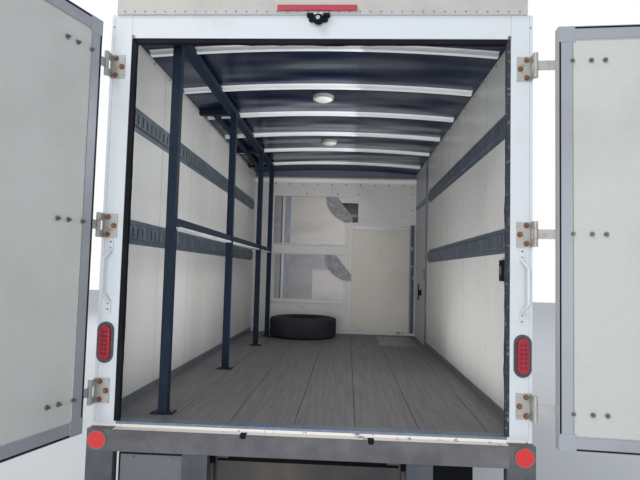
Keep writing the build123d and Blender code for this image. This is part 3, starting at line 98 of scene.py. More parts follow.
def noiseNode(tree, vector, scale, detail):
    noise = addNode(tree, "ShaderNodeTexNoise")
    feed(tree, noise.inputs["Scale"], scale)
    feed(tree, noise.inputs["Detail"], detail)
    feed(tree, noise.inputs["Vector"], vector)
    return noise


def lookColor(tree, vector, look):
    noise = noiseNode(tree, vector, look["scale"], look["detail"])
    feed(tree, noise.inputs["Roughness"], look["broken"])
    ramp = addNode(tree, "ShaderNodeValToRGB")
    ramp.color_ramp.elements[0].position = look["start"]
    ramp.color_ramp.elements[1].position = look["full"]
    feed(tree, ramp.inputs["Fac"], noise.outputs["Fac"])
    return mixColors(tree, ramp.outputs["Color"], look["color"], look["dirt"])


def zoneMask(tree, places, zone):
    mask = 1.0
    for axis in (axis for axis in places if axis in zone):
        for operation, limit in zip(("GREATER_THAN", "LESS_THAN"), zone[axis]):
            mask = mathNode(tree, "MULTIPLY", mask, mathNode(tree, operation, places[axis], limit))
    return mask


def addBump(tree, shader, height, strength, depth):
    bump = addNode(tree, "ShaderNodeBump")
    feed(tree, bump.inputs["Strength"], strength)
    feed(tree, bump.inputs["Distance"], depth)
    feed(tree, bump.inputs["Height"], height)
    feed(tree, shader.inputs["Normal"], bump.outputs["Normal"])


def makeMaterial(name, look):
    material = bpy.data.materials.new(name)
    material.use_nodes = True
    tree = material.node_tree
    shader = tree.nodes["Principled BSDF"]
    place = addNode(tree, "ShaderNodeTexCoord").outputs["Object"]
    stretch = addNode(tree, "ShaderNodeMapping")
    feed(tree, stretch.inputs["Scale"], look["stretch"])
    feed(tree, stretch.inputs["Vector"], place)
    vector = stretch.outputs["Vector"]
    color, rough, metal = lookColor(tree, vector, look), look["rough"], look["metal"]
    if look["zones"]:
        split = addNode(tree, "ShaderNodeSeparateXYZ")
        feed(tree, split.inputs[0], place)
        places = dict(zip("xyz", split.outputs))
        places["side"] = mathNode(tree, "ABSOLUTE", places["x"])
    for zone in look["zones"]:
        mask = zoneMask(tree, places, zone)
        color = mixColors(tree, mask, color, lookColor(tree, vector, zone))
        rough = mixValues(tree, mask, rough, zone["rough"])
        metal = mixValues(tree, mask, metal, zone["metal"])
    settings = {
        "Base Color": color, "Roughness": rough, "Metallic": metal, "Coat Weight": look["coat"],
        "Specular IOR Level": look["shine"], "Alpha": look["alpha"],
    }
    for key, value in settings.items():
        feed(tree, shader.inputs[key], value)
    if look["bump"]:
        fine = noiseNode(tree, vector, look["grain"], look["grainDetail"])
        addBump(tree, shader, fine.outputs["Fac"], look["bump"], look["depth"])
    return material


# Rear frame: the roof rail, the ledge over the sill, the sill's face, its end boxes, the steel threshold
# with a painted blue reflection
frameZones = [
    surface((0.47, 0.45, 0.42), 0.45, (0.36, 0.34, 0.32), scale=3, z=(1.9612, 2.1)),
    surface(
        (0.8, 0.76, 0.7), 0.6, (0.22, 0.18, 0.15), scale=24, start=0.62, full=0.66,
        y=(-0.06, 0.002), z=(-0.0315, -0.012),
    ),
    surface(
        (0.09, 0.09, 0.098), 0.75, (0.16, 0.155, 0.16), scale=7, start=0.4, full=0.75,
        y=(-0.06, -0.0475), z=(-0.2, -0.0238),
    ),
    surface(
        (0.09, 0.09, 0.098), 0.7, (0.16, 0.155, 0.16), scale=8, start=0.4, full=0.75,
        side=(0.9, 1.02), y=(-0.06, 0.06), z=(-0.2, -0.0238),
    ),
    # Steel threshold: its blue tint is a painted reflection
    surface(
        (0.15, 0.19, 0.25), 0.5, (0.26, 0.28, 0.31), scale=18, metal=0.4,
        side=(-1, 0.904), y=(-0.001, 0.07), z=(-0.012, 0.001),
    ),
]
# Bulkhead's face: the top rail, the line over it, the lower part, and a band of painted shade under the
# roof
bulkheadZones = [
    surface((0.93, 0.91, 0.86), 0.3, (0.8, 0.8, 0.79), y=(3.8, 3.8925), z=(1.8, 1.848)),
    surface((0.42, 0.42, 0.42), 0.4, (0.3, 0.31, 0.33), y=(3.8, 3.8925), z=(1.848, 1.868)),
    surface((0.53, 0.5, 0.46), 0.45, (0.42, 0.41, 0.4), metal=0.1, y=(3.8, 3.8925), z=(0.02, 1.4)),
    # Painted shade: the dark navy band over the rail, under the roof
    surface((0.1, 0.115, 0.16), 0.4, (0.06, 0.07, 0.1), z=(1.868, 2.1)),
]
# Bulkhead sheets: painted light on the upper and lower right parts, then at their left edge the fold,
# painted with a blue reflection, a highlight and a shadow line
sheetZones = [
    # Painted light: the sheets lit brighter on the upper part and the lower right part
    surface((0.47, 0.44, 0.41), 0.4, (0.36, 0.345, 0.33), metal=0.2, x=(-0.53, 0.2), z=(1.05, 1.65)),
    surface((0.46, 0.42, 0.41), 0.4, (0.34, 0.33, 0.33), metal=0.2, x=(-0.25, 0.2), z=(0.4, 0.75)),
    # Painted reflection, highlight and shadow line along the raised fold
    surface((0.22, 0.25, 0.3), 0.4, (0.3, 0.32, 0.35), metal=0.3, x=(-0.575, -0.53)),
    surface((0.5, 0.5, 0.5), 0.4, (0.44, 0.44, 0.45), metal=0.2, x=(-0.628, -0.6)),
    surface((0.08, 0.085, 0.1), 0.5, (0.13, 0.13, 0.14), x=(-0.645, -0.63)),
]
# Tail lamps: the dark bezel, the round reflectors, the bar lamp
lampZones = [
    surface((0.045, 0.052, 0.065), 0.5, (0.03, 0.035, 0.045), y=(-0.0052, 0.01), z=(0.2, 0.6)),
    surface((0.62, 0.018, 0.018), 0.4, (0.52, 0.014, 0.014), z=(-0.2, 0.1)),
    surface((0.42, 0.035, 0.065), 0.4, (0.34, 0.03, 0.05), z=(1.9, 2.1)),
]
looks = {
    "chassisBlack": surface((0.035, 0.035, 0.038), 0.65, (0.1, 0.085, 0.07)),
    "axleIron": surface((0.07, 0.06, 0.055), 0.8, (0.16, 0.09, 0.05), scale=9),
    "engineIron": surface((0.1, 0.1, 0.105), 0.7, (0.05, 0.045, 0.04)),
    "tankBlack": surface((0.04, 0.04, 0.042), 0.55, (0.1, 0.09, 0.08)),
    "exhaustSteel": surface((0.3, 0.25, 0.2), 0.6, (0.2, 0.11, 0.06), metal=0.7),
    "cabWhite": surface(  # its zone is the mirror's black housing
        (0.74, 0.74, 0.72), 0.3, (0.68, 0.67, 0.63), coat=0.4,
        zones=[surface((0.02, 0.02, 0.022), 0.55, side=(1.03, 1.4), z=(0.5, 0.9))],
    ),
    "capWhite": surface((0.73, 0.73, 0.7), 0.35, (0.67, 0.66, 0.62), coat=0.3),
    "floorMat": surface((0.03, 0.03, 0.032), 0.85, (0.09, 0.08, 0.07), bump=0.4),
    "clearGlass": surface((0.32, 0.4, 0.4), 0.04, alpha=0.35, coat=1.0),
    "grilleBlack": surface((0.03, 0.03, 0.032), 0.5, bump=0.3, grain=300),
    "lampLens": surface(  # its zone is the amber turn signal
        (0.3, 0.33, 0.36), 0.08, (0.5, 0.53, 0.55), coat=1.0, scale=12, start=0.45, full=0.6,
        metal=0.4, zones=[surface((0.75, 0.25, 0.02), 0.1, side=(0.672, 0.8))],
    ),
    "bumperPaint": surface((0.6, 0.61, 0.62), 0.3, (0.4, 0.36, 0.32), metal=0.6),
    "dashPlastic": surface((0.05, 0.05, 0.055), 0.7, bump=0.4, grain=400),
    "seatVinyl": surface((0.09, 0.1, 0.12), 0.5, bump=0.3, grain=250),
    "sillSteel": surface((0.09, 0.085, 0.08), 0.8, (0.16, 0.1, 0.06)),
    "sillTimber": surface((0.16, 0.12, 0.085), 0.85, (0.09, 0.07, 0.05), stretch=(9, 1, 9)),
    "stepTread": surface(
        (0.04, 0.04, 0.043), 0.6, (0.16, 0.16, 0.16), scale=20, bump=0.6, grain=90, depth=0.002
    ),
    "wallWhite": surface(  # its zone is the bare rail outside
        (0.62, 0.615, 0.59), 0.35, (0.55, 0.54, 0.51), scale=1.3, start=0.45, full=0.8,
        stretch=(1, 3, 0.5), zones=[surface(
            (0.5, 0.51, 0.52), 0.4, (0.36, 0.36, 0.36), metal=0.8, side=(1.0115, 1.1)
        )],
    ),
    "bulkheadWhite": surface((0.6, 0.59, 0.575), 0.5, (0.5, 0.49, 0.47), scale=3, zones=bulkheadZones),
    "panelCream": surface(  # its zone is the worn rail along the top
        (0.6, 0.56, 0.5), 0.5, (0.52, 0.48, 0.42), scale=2, zones=[surface(
            (0.5, 0.5, 0.48), 0.5, (0.3, 0.29, 0.27), scale=20, metal=0.4, z=(1.244, 1.3)
        )],
    ),
    "frameWhite": surface(
        (0.62, 0.655, 0.68), 0.35, (0.54, 0.57, 0.58), scale=5, start=0.55, full=0.8,
        zones=frameZones,
    ),
    "trackGrey": surface((0.075, 0.1, 0.13), 0.45, (0.15, 0.18, 0.21), metal=0.3, scale=12),
    "trimMetal": surface((0.22, 0.235, 0.27), 0.42, (0.15, 0.16, 0.19), metal=0.5, scale=8),
    "paintedSlotLight": surface((0.7, 0.73, 0.75), 0.5, (0.55, 0.58, 0.6), scale=30),
    "rackBlack": surface((0.005, 0.014, 0.03), 0.6, (0.01, 0.02, 0.036), scale=10, shine=0.2),
    "stepGrey": surface(
        (0.055, 0.062, 0.078), 0.75, (0.11, 0.11, 0.12), scale=6, start=0.4, full=0.7, bump=0.3
    ),
    "sideDoorGrey": surface((0.5, 0.52, 0.56), 0.45, (0.42, 0.44, 0.48)),
    "wheelSteel": surface((0.5, 0.5, 0.48), 0.5, (0.25, 0.2, 0.16), scale=12),
    "lampRed": surface(
        (0.36, 0.008, 0.022), 0.3, (0.22, 0.004, 0.012), coat=0.3, scale=60, start=0.4, full=0.6,
        bump=0.6, grain=130, depth=0.002, zones=lampZones,
    ),
    "lampCell": surface((0.2, 0.005, 0.014), 0.2, (0.34, 0.01, 0.024), scale=90),
    "wornRubber": surface(
        (0.04, 0.042, 0.05), 0.8, (0.2, 0.2, 0.205), shine=0.2, scale=60, start=0.58, full=0.66
    ),
    "doorPanel": surface((0.52, 0.525, 0.5), 0.5, (0.46, 0.465, 0.44), bump=0.8, grain=170, depth=0.003),
    "galvanised": surface(
        (0.42, 0.42, 0.4), 0.5, (0.32, 0.24, 0.17), metal=0.4, scale=26, start=0.54, full=0.7
    ),
    "edgeAluminium": surface((0.36, 0.375, 0.41), 0.45, (0.3, 0.31, 0.34), metal=0.4),
    "sheetAluminium": surface(
        (0.28, 0.275, 0.275), 0.42, (0.2, 0.2, 0.215), metal=0.3, scale=1.6, stretch=(1, 1, 3),
        bump=0.3, grain=2.0, depth=0.01, zones=sheetZones,
    ),
    "gussetGrey": surface((0.2, 0.2, 0.21), 0.55, (0.34, 0.34, 0.35), scale=20, start=0.4, full=0.65),
    "rubberBlack": surface((0.008, 0.009, 0.012), 0.8, (0.02, 0.02, 0.025), shine=0.15),
    "wallSeam": surface((0.5, 0.495, 0.475), 0.5, (0.42, 0.415, 0.4)),
    "boltSteel": surface((0.2, 0.2, 0.2), 0.5, (0.1, 0.09, 0.08), metal=0.8, scale=90),
    "boltRust": surface((0.22, 0.1, 0.05), 0.75, (0.4, 0.34, 0.28), metal=0.3, scale=90),
    # Metal ceiling sheet: its near-black navy colour is painted shade and dark reflection under the roof
    "roofSkin": surface(
        (0.018, 0.036, 0.085), 0.25, (0.009, 0.02, 0.052), metal=0.7, bump=0.8, grain=2.2,
        grainDetail=1.0, depth=0.06, stretch=(0.5, 1.6, 1),
    ),
    "bowSteel": surface((0.88, 0.88, 0.88), 0.35, (0.78, 0.79, 0.8)),
    "hardwood": surface(
        (0.175, 0.165, 0.165), 0.6, (0.1, 0.094, 0.097), scale=3.0, start=0.35, full=0.75,
        stretch=(16, 0.7, 1), bump=0.5, grain=30,
    ),
    "opalLamp": surface((0.75, 0.75, 0.72), 0.3),
    "lampAmber": surface((0.7, 0.2, 0.01), 0.15, coat=1.0),
    "platePlain": surface((0.13, 0.13, 0.15), 0.4, (0.1, 0.1, 0.11)),
    "lipWhite": surface((0.55, 0.55, 0.56), 0.5, (0.3, 0.31, 0.34), scale=9),
    "frameBlue": surface((0.06, 0.075, 0.11), 0.6, (0.3, 0.3, 0.3), scale=14, start=0.6, full=0.66),
    "scuffWhite": surface((0.55, 0.54, 0.52), 0.6, (0.05, 0.05, 0.06), scale=16, start=0.6, full=0.66),
    "mirrorGlass": surface((0.85, 0.87, 0.88), 0.03, metal=1.0),
    "sealGrey": surface((0.33, 0.33, 0.32), 0.6, (0.24, 0.24, 0.23)),
    "paleGround": surface((0.72, 0.72, 0.72), 0.9, (0.7, 0.7, 0.7)),
}
paint = {name: makeMaterial(name, look) for name, look in looks.items()}
print("materials made")

# Tyre rubber: tread blocks by angle round the wheel, and fine rings on the side walls
tread = {
    "rubber": surface((0.013, 0.014, 0.019), 0.85, (0.035, 0.034, 0.036)), "depth": 0.006,
    "band": 0.012, "lugs": 72.0, "slant": 1.2, "grooves": 190.0, "open": -0.55,
    "rings": 420.0, "ringWidth": 0.3, "ringHeight": 0.25, "spare": (-0.315, 3.515, 0.112),
}


def makeTyreMaterial(name, centre, axle):
    material = makeMaterial(name, tread["rubber"])
    tree = material.node_tree

    def wave(value, rate):
        return mathNode(tree, "SINE", mathNode(tree, "MULTIPLY", value, rate))

    split = addNode(tree, "ShaderNodeSeparateXYZ")
    feed(tree, split.inputs[0], addNode(tree, "ShaderNodeTexCoord").outputs["Object"])
    offsets = [mathNode(tree, "SUBTRACT", *pair) for pair in zip(split.outputs, centre)]
    out = mathNode(tree, "ABSOLUTE", offsets.pop("XYZ".index(axle)))
    first, second = offsets
    around = mathNode(tree, "ARCTAN2", first, second)
    squares = [mathNode(tree, "MULTIPLY", value, value) for value in (first, second)]
    radius = mathNode(tree, "SQRT", mathNode(tree, "ADD", *squares))
    onTread = mathNode(tree, "GREATER_THAN", radius, wheel["radius"] - tread["band"])
    slanted = mathNode(tree, "ADD", around, mathNode(tree, "MULTIPLY", out, tread["slant"]))
    lowest = mathNode(tree, "MINIMUM", wave(slanted, tread["lugs"]), wave(out, tread["grooves"]))
    blocks = mathNode(tree, "GREATER_THAN", lowest, tread["open"])
    rings = mathNode(tree, "GREATER_THAN", wave(radius, tread["rings"]), tread["ringWidth"])
    height = mixValues(tree, onTread, mathNode(tree, "MULTIPLY", rings, tread["ringHeight"]), blocks)
    addBump(tree, tree.nodes["Principled BSDF"], height, 1.0, tread["depth"])
    return material


# Which look each CAD node has
lookNodes = {
    "chassisBlack": "frame_rails", "engineIron": "engine_block", "tankBlack": "fuel_tank",
    "axleIron": "front_axle rear_axle knuckle_right knuckle_left", "exhaustSteel": "exhaust",
    "cabWhite": "cab_shell nose_panels hood cab_door_right cab_door_left", "grilleBlack": "grille",
    "clearGlass": "windshield door_glass_right door_glass_left", "floorMat": "cab_floor",
    "capWhite": "nose_cap box_roof", "lampLens": "head_lamps", "bumperPaint": "front_bumper",
    "dashPlastic": "dashboard steering_wheel", "seatVinyl": "cab_seats", "stepTread": "side_steps",
    "sillTimber": "long_sills", "sillSteel": "cross_sills", "hardwood": "floor_boards",
    "wallWhite": "wall_left wall_right", "bowSteel": "roof_bows", "rackBlack": "cargo_rack",
    "bulkheadWhite": "front_bulkhead", "sheetAluminium": "bulkhead_sheets",
    "gussetGrey": "bulkhead_gussets", "panelCream": "doorway_panel", "frameWhite": "rear_frame",
    "galvanised": "hinge_brackets door_fittings_right door_fittings_left",
    "trackGrey": "tie_tracks", "trimMetal": "wall_trims", "lampRed": "tail_lamps",
    "stepGrey": "rear_step", "doorPanel": "rear_door_right rear_door_left",
    "sideDoorGrey": "side_door",
}
nodePaint = {node: look for look, group in lookNodes.items() for node in group.split()}
for hand, side in hands.items():
    for end, across in wheel["across"].items():
        tyre = "tyre_" + end + "_" + hand
        centre = (side * across, wheel["along"][end], wheel["up"])
        paint[tyre] = makeTyreMaterial(tyre, centre, "X")
        nodePaint[tyre] = tyre
        nodePaint["rim_" + end + "_" + hand] = "wheelSteel"
paint["spareTyre"] = makeTyreMaterial("spareTyre", tread["spare"], "Z")
nodePaint["spare_tyre"] = "spareTyre"
for name, node in nodes.items():
    node.data.materials.clear()
    node.data.materials.append(paint[nodePaint[name]])
print("nodes painted")


# Piece makers. Each leaves its mesh in place on an object at the origin.
def only(piece):
    bpy.ops.object.select_all(action="DESELECT")
    piece.select_set(True)
    bpy.context.view_layer.objects.active = piece


def settle(piece, name, look, place=None):
    piece.name = name
    piece.data.name = name
    if place is not None:
        bpy.context.view_layer.update()
        piece.matrix_world = place @ piece.matrix_world
    only(piece)
    bpy.ops.object.transform_apply(location=True, rotation=True, scale=True)
    piece.data.materials.clear()
    piece.data.materials.append(paint[look])
    return piece


def applied(piece, kind, **settings):
    only(piece)
    modifier = piece.modifiers.new("shape", kind)
    for key, value in settings.items():
        setattr(modifier, key, value)
    bpy.ops.object.modifier_apply(modifier=modifier.name)
    return piece


# A box between two corners; "soft" is how wide its edges are rounded
def box(low, high, look, soft=0.0, place=None):
    bpy.ops.object.select_all(action="DESELECT")
    middle = [(a + b) / 2 for a, b in zip(low, high)]
    bpy.ops.mesh.primitive_cube_add(size=1, location=middle)
    piece = bpy.context.object
    piece.scale = [abs(b - a) for a, b in zip(low, high)]
    settle(piece, "box", look, place)
    if soft:
        applied(piece, "BEVEL", width=soft, segments=2)
    return piece


def mirrored(low, high, side):
    return (side * low[0], low[1], low[2]), (side * high[0], high[1], high[2])


# The box of a part on the right side, made on the side that is asked for
def sideBox(side, part, place=None):
    low, high, *rest = part
    return box(*mirrored(low, high, side), *rest, place=place)


def disc(centre, axis, radius, thick, look, sides=8, place=None):
    bpy.ops.object.select_all(action="DESELECT")
    quarter = math.pi / 2
    turn = {"x": (0, quarter, 0), "y": (quarter, 0, 0), "z": (0, 0, 0)}[axis]
    bpy.ops.mesh.primitive_cylinder_add(
        vertices=sides, radius=radius, depth=thick, location=centre, rotation=turn
    )
    return settle(bpy.context.object, "disc", look, place)


def ball(centre, radius, stretch, look, place=None):
    bpy.ops.object.select_all(action="DESELECT")
    bpy.ops.mesh.primitive_uv_sphere_add(segments=20, ring_count=10, radius=radius, location=centre)
    bpy.context.object.scale = stretch
    piece = settle(bpy.context.object, "ball", look, place)
    bpy.ops.object.shade_smooth()
    return piece


# A flat frame standing in the XZ plane: an outer rectangle with a border of one width
def standingFrame(low, high, border, face, thick, look, place=None):
    bpy.ops.object.select_all(action="DESELECT")
    middle = ((low[0] + high[0]) / 2, face, (low[1] + high[1]) / 2)
    bpy.ops.mesh.primitive_plane_add(size=1, location=middle, rotation=(math.pi / 2, 0, 0))
    piece = bpy.context.object
    piece.scale = (high[0] - low[0], high[1] - low[1], 1)
    only(piece)
    bpy.ops.object.transform_apply(location=True, rotation=True, scale=True)
    bpy.ops.object.mode_set(mode="EDIT")
    bpy.ops.mesh.select_all(action="SELECT")
    bpy.ops.mesh.inset(thickness=border)
    bpy.ops.mesh.delete(type="FACE")
    bpy.ops.object.mode_set(mode="OBJECT")
    applied(piece, "SOLIDIFY", thickness=thick, offset=0)
    return settle(piece, "frame", look, place)


# The same small piece at many spots, each with its own mesh
def copies(model, spots, place=None):
    made = []
    for spot in spots:
        twin = model.copy()
        twin.data = model.data.copy()
        bpy.context.collection.objects.link(twin)
        move = Matrix.Translation(spot)
        twin.data.transform(place @ move if place is not None else move)
        made.append(twin)
    bpy.data.objects.remove(model)
    return made


# Joins pieces into one that rides on a body
def joined(name, pieces, rider="van"):
    only(pieces[0])
    for piece in pieces:
        piece.select_set(True)
    if len(pieces) > 1:
        bpy.ops.object.join()
    whole = bpy.context.object
    whole.name = name
    whole.data.name = name
    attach(whole, rider)


# Equal round heads at many spots, as one piece
def heads(name, head, spots, place=None, rider="van"):
    joined(name, copies(disc(*head), spots, place), rider)


# Bolts seen end on. Each layer has its distance off the face, radius, thickness, look and sides.
def bolts(name, layers, face, out, spots, place=None, rider="van"):
    parts = []
    for off, *rest in layers:
        parts += copies(disc((0, face + out * off, 0), "y", *rest), spots, place)
    joined(name, parts, rider)


def at(x, y, z):
    return Matrix.Translation((x, y, z))


def row(start, step, count):
    return [start + index * step for index in range(count)]


def inset(low, high, margin):
    return [value + margin for value in low], [value - margin for value in high]


# Rear doors, in their own frames: X along the leaf from its pin, Y out of its plane, Z up.
# "turn" is in degrees about the pin, "corner" is half the width of a corner plate, and margins
# are measured from the leaf's edge.
leaf = {
    "pin": (1.012, -0.05), "turn": {"right": 355.5, "left": -106.4}, "low": (0.086, -0.018),
    "high": (1.003, 1.858), "thick": 0.045, "edge": 0.06, "sheet": 0.0012, "corner": 0.036,
    "cornerSheet": 0.0012, "cornerOff": 0.0015, "soft": 0.001, "lap": 0.0015,
    "line": (0.005, 0.003), "gasketMargin": 0.004, "gasket": (0.007, 0.0025),
    "hinges": (0.14, 0.92, 1.7), "boltsAlong": (0.146, 0.227, 0.286), "boltFace": 0.003,
    "bolt": (
        (0, 0.0125, 0.005, "sealGrey", 16), (0.0055, 0.0095, 0.007, "boltSteel", 6),
        (0.012, 0.0048, 0.014, "boltSteel", 8),
    ),
    "headsAlong": (0.11, 0.2, 0.286), "head": ((0.0085, 0.009, 0.005, "galvanised", 6),),
}


def dressRearDoor(hand):
    side = hands[hand]
    inward = -side
    rider = "rear_door_" + hand
    turn = Matrix.Rotation(math.radians(leaf["turn"][hand]), 4, "Z")
    place = at(side * leaf["pin"][0], leaf["pin"][1], 0) @ turn
    low, high = leaf["low"], leaf["high"]
    inner = inward * (leaf["thick"] + leaf["sheet"] / 2)
    parts = []
    for face in (inner, -inward * leaf["sheet"] / 2):
        shape = (low, high, leaf["edge"], face, leaf["sheet"])
        parts.append(standingFrame(*shape, "edgeAluminium", place))
    half = (leaf["corner"], leaf["cornerSheet"], leaf["corner"])
    for across in (low[0] + leaf["corner"], high[0] - leaf["corner"]):
        for up in (low[1] + leaf["corner"], high[1] - leaf["corner"]):
            middle = (across, inner + inward * leaf["cornerOff"], up)
            near = [value - size for value, size in zip(middle, half)]
            far = [value + size for value, size in zip(middle, half)]
            parts.append(box(near, far, "edgeAluminium", leaf["soft"], place))
    joined("leafEdging." + hand, parts, rider)
    width, thick = leaf["line"]
    face = inward * (leaf["thick"] - leaf["lap"])
    shape = (*inset(low, high, leaf["edge"] - leaf["lap"]), width, face, thick)
    joined("panelLine." + hand, [standingFrame(*shape, "sealGrey", place)], rider)
    width, thick = leaf["gasket"]
    face = inner + inward * leaf["cornerSheet"]
    shape = (*inset(low, high, leaf["gasketMargin"]), width, face, thick)
    joined("leafGasket." + hand, [standingFrame(*shape, "rubberBlack", place)], rider)
    face = inward * (leaf["thick"] - leaf["boltFace"])
    spots = [(along, 0, up) for up in leaf["hinges"] for along in leaf["boltsAlong"]]
    bolts("strapBolts." + hand, leaf["bolt"], face, inward, spots, place, rider)
    spots = [(along, 0, up) for up in leaf["hinges"] for along in leaf["headsAlong"]]
    bolts("strapHeads." + hand, leaf["head"], 0, -inward, spots, place, rider)


for hand in hands:
    dressRearDoor(hand)
print("rear doors dressed")

# Worn rubber seal round the doorway, its inner lip torn and wavy
seal = {
    "front": 0.004, "back": 0.03, "sill": 0.002, "gap": 0.001, "overlap": 0.0005,
    "posts": ((-1, 0.893, "rubberBlack"), (1, 0.899, "wornRubber")), "postWave": 0.0035,
    "topHalf": 0.9, "topLow": 1.825, "topWave": 0.004,
    "cuts": 24, "lipDepth": 0.0005, "tornShare": 0.07, "torn": 3.0, "bias": 0.4,
}


def wavyStrip(low, high, wave, axis, inward, look):
    strip = box(low, high, look)
    only(strip)
    bpy.ops.object.mode_set(mode="EDIT")
    bpy.ops.mesh.select_all(action="SELECT")
    bpy.ops.mesh.subdivide(number_cuts=seal["cuts"])
    bpy.ops.object.mode_set(mode="OBJECT")
    for vertex in strip.data.vertices:
        if abs(vertex.co[axis] - low[axis]) < seal["lipDepth"]:
            depth = wave * (seal["torn"] if random.random() < seal["tornShare"] else 1.0)
            vertex.co[axis] += inward * depth * (random.random() - seal["bias"])
    return strip


def doorSeal():
    edge = body["postInner"] - seal["overlap"]
    top = body["header"] - seal["gap"]
    strips = []
    for side, lip, look in seal["posts"]:
        low, high = mirrored((lip, seal["front"], seal["sill"]), (edge, seal["back"], top), side)
        strips.append(wavyStrip(low, high, seal["postWave"], 0, -side, look))
    low = (-seal["topHalf"], seal["front"], seal["topLow"])
    high = (seal["topHalf"], seal["back"], top)
    strips.append(wavyStrip(low, high, seal["topWave"], 2, -1, "rubberBlack"))
    joined("doorSeal", strips)


doorSeal()

# Rear frame: joints in the white paint, black patches of painted shade for the keeper holes, hinge bolts,
# rivets, clips, handle screws
rearFrame = {
    "sideSeams": (
        ((0.914, -0.0004, 1.846), (0.9155, 0.001, 1.961), "sealGrey"),
        ((1.0005, -0.0004, 0.0), (1.0018, 0.001, 1.961), "sealGrey"),
    ),
    "railSeam": ((-0.99, -0.0006, 1.9595), (0.99, 0.001, 1.9615), "sealGrey"),
    "keepersAt": (-0.29, 0.29),
    # Keeper holes: flat black patches on the sill's face and ledge, painted shade in place of the holes
    "keeper": (
        ((-0.014, -0.0552, -0.037), (0.014, -0.05, -0.0228), "rubberBlack"),
        ((-0.014, -0.052, -0.0245), (0.014, -0.018, -0.0228), "rubberBlack"),
    ),
    "boltsAt": ((0.987, 0.042), (0.987, -0.042), (0.957, 0.0)),
    "bolt": (
        (0.0065, 0.0135, 0.003, "boltRust", 16), (0.012, 0.0095, 0.008, "boltRust", 6),
        (0.018, 0.005, 0.008, "boltRust", 8),
    ),
    "rivetsAt": (-0.95, 0.05, 39), "rivet": ((0, -0.0148, 1.973), "y", 0.004, 0.0025, "boltSteel"),
    "clips": ((0.908, 1.852, 0.009, 12), (1.005, 1.9, 0.004, 8)), "clipFace": 0.0003,
    "clipThick": 0.0034, "screwsAt": (0.967, (0.521, 0.549, 0.814, 0.842)),
    "screw": ((0, -0.0075, 0), "y", 0.0045, 0.004, "boltSteel"),
}


def rearFrameDetails():
    seams = [sideBox(side, seam) for side in both for seam in rearFrame["sideSeams"]]
    joined("frameSeams", seams + [box(*rearFrame["railSeam"])])
    places = [at(across, 0, 0) for across in rearFrame["keepersAt"]]
    keepers = [box(*part, place=place) for place in places for part in rearFrame["keeper"]]
    joined("keepers", keepers)
    spots = []
    for side in both:
        for up in leaf["hinges"]:
            spots += [(side * across, 0, up + rise) for across, rise in rearFrame["boltsAt"]]
    bolts("postBolts", rearFrame["bolt"], 0, -1, spots)
    heads("railRivets", rearFrame["rivet"], [(across, 0, 0) for across in row(*rearFrame["rivetsAt"])])
    clips = []
    for side in both:
        for across, up, radius, sides in rearFrame["clips"]:
            spot = (side * across, rearFrame["clipFace"], up)
            clips.append(disc(spot, "y", radius, rearFrame["clipThick"], "boltSteel", sides))
    joined("frameClips", clips)
    across, heights = rearFrame["screwsAt"]
    heads("handleScrews", rearFrame["screw"], [(side * across, 0, up) for side in both for up in heights])


rearFrameDetails()

# Backup camera under the roof rail: two clamps, its body with a white cap, the eye and its lens
backup = {
    "boxes": (
        ((-0.056, -0.03, 1.946), (-0.024, -0.001, 1.961), "rubberBlack", 0.004),
        ((0.024, -0.03, 1.946), (0.056, -0.001, 1.961), "rubberBlack", 0.004),
        ((-0.046, -0.022, 1.922), (0.046, -0.001, 1.95), "rubberBlack", 0.008),
        ((-0.02, -0.034, 1.95), (0.02, -0.002, 1.958), "capWhite", 0.002),
    ),
    "eye": ((0, -0.026, 1.93), 0.026, (1, 1, 1), "rubberBlack"),
    "lens": ((0, -0.052, 1.926), "y", 0.01, 0.004, "mirrorGlass", 16),
}
parts = [box(*part) for part in backup["boxes"]]
joined("backupCamera", parts + [ball(*backup["eye"]), disc(*backup["lens"])])

# Tail lamps: rings round the reflectors, two columns of cells in each lens, a screw at each side
tailLamp = {
    "ringsAt": 0.967, "ring": ((0, -0.053, -0.072), "y", 0.0445, 0.0045, "boltSteel", 32),
    "lensAt": 0.972, "cellsAcross": (-0.009, 0.009), "cellsUp": (0.315, 0.02, 6),
    "cell": ((0, -0.0172, 0), "y", 0.0062, 0.0016, "lampCell", 12),
    "screwsAcross": (-0.0285, 0.0285), "screw": ((0, -0.006, 0.365), "y", 0.003, 0.002, "boltSteel"),
}


def lampDetails():
    heads("lampRings", tailLamp["ring"], [(side * tailLamp["ringsAt"], 0, 0) for side in both])
    lenses = [side * tailLamp["lensAt"] for side in both]
    columns = [lens + across for lens in lenses for across in tailLamp["cellsAcross"]]
    spots = [(column, 0, up) for column in columns for up in row(*tailLamp["cellsUp"])]
    heads("lampCells", tailLamp["cell"], spots)
    spots = [(lens + across, 0, 0) for lens in lenses for across in tailLamp["screwsAcross"]]
    heads("lampScrews", tailLamp["screw"], spots)


lampDetails()

# Blank plate in its frame with two screws, and mud flaps behind the rear wheels, each under a strip
plate = {
    "sheet": ((-0.862, -0.0325, -0.285), (-0.563, -0.0305, -0.133), "platePlain", 0.0008),
    "frame": ((-0.866, -0.289), (-0.559, -0.129), 0.007, -0.0335, 0.003, "rubberBlack"),
    "screwsAt": ((-0.8015, 0, 0), (-0.6235, 0, 0)),
    "screw": ((0, -0.036, -0.15), "y", 0.0065, 0.004, "boltSteel", 12),
}
flap = (
    ((0.73, 0.9, -0.72), (0.965, 0.906, -0.13), "rubberBlack", 0.001),
    ((0.73, 0.895, -0.16), (0.965, 0.91, -0.121), "boltSteel"),
)
joined("blankPlate", [box(*plate["sheet"]), standingFrame(*plate["frame"])])
heads("plateScrews", plate["screw"], plate["screwsAt"])
joined("mudFlaps", [sideBox(side, part) for side in both for part in flap])
print("rear end dressed")

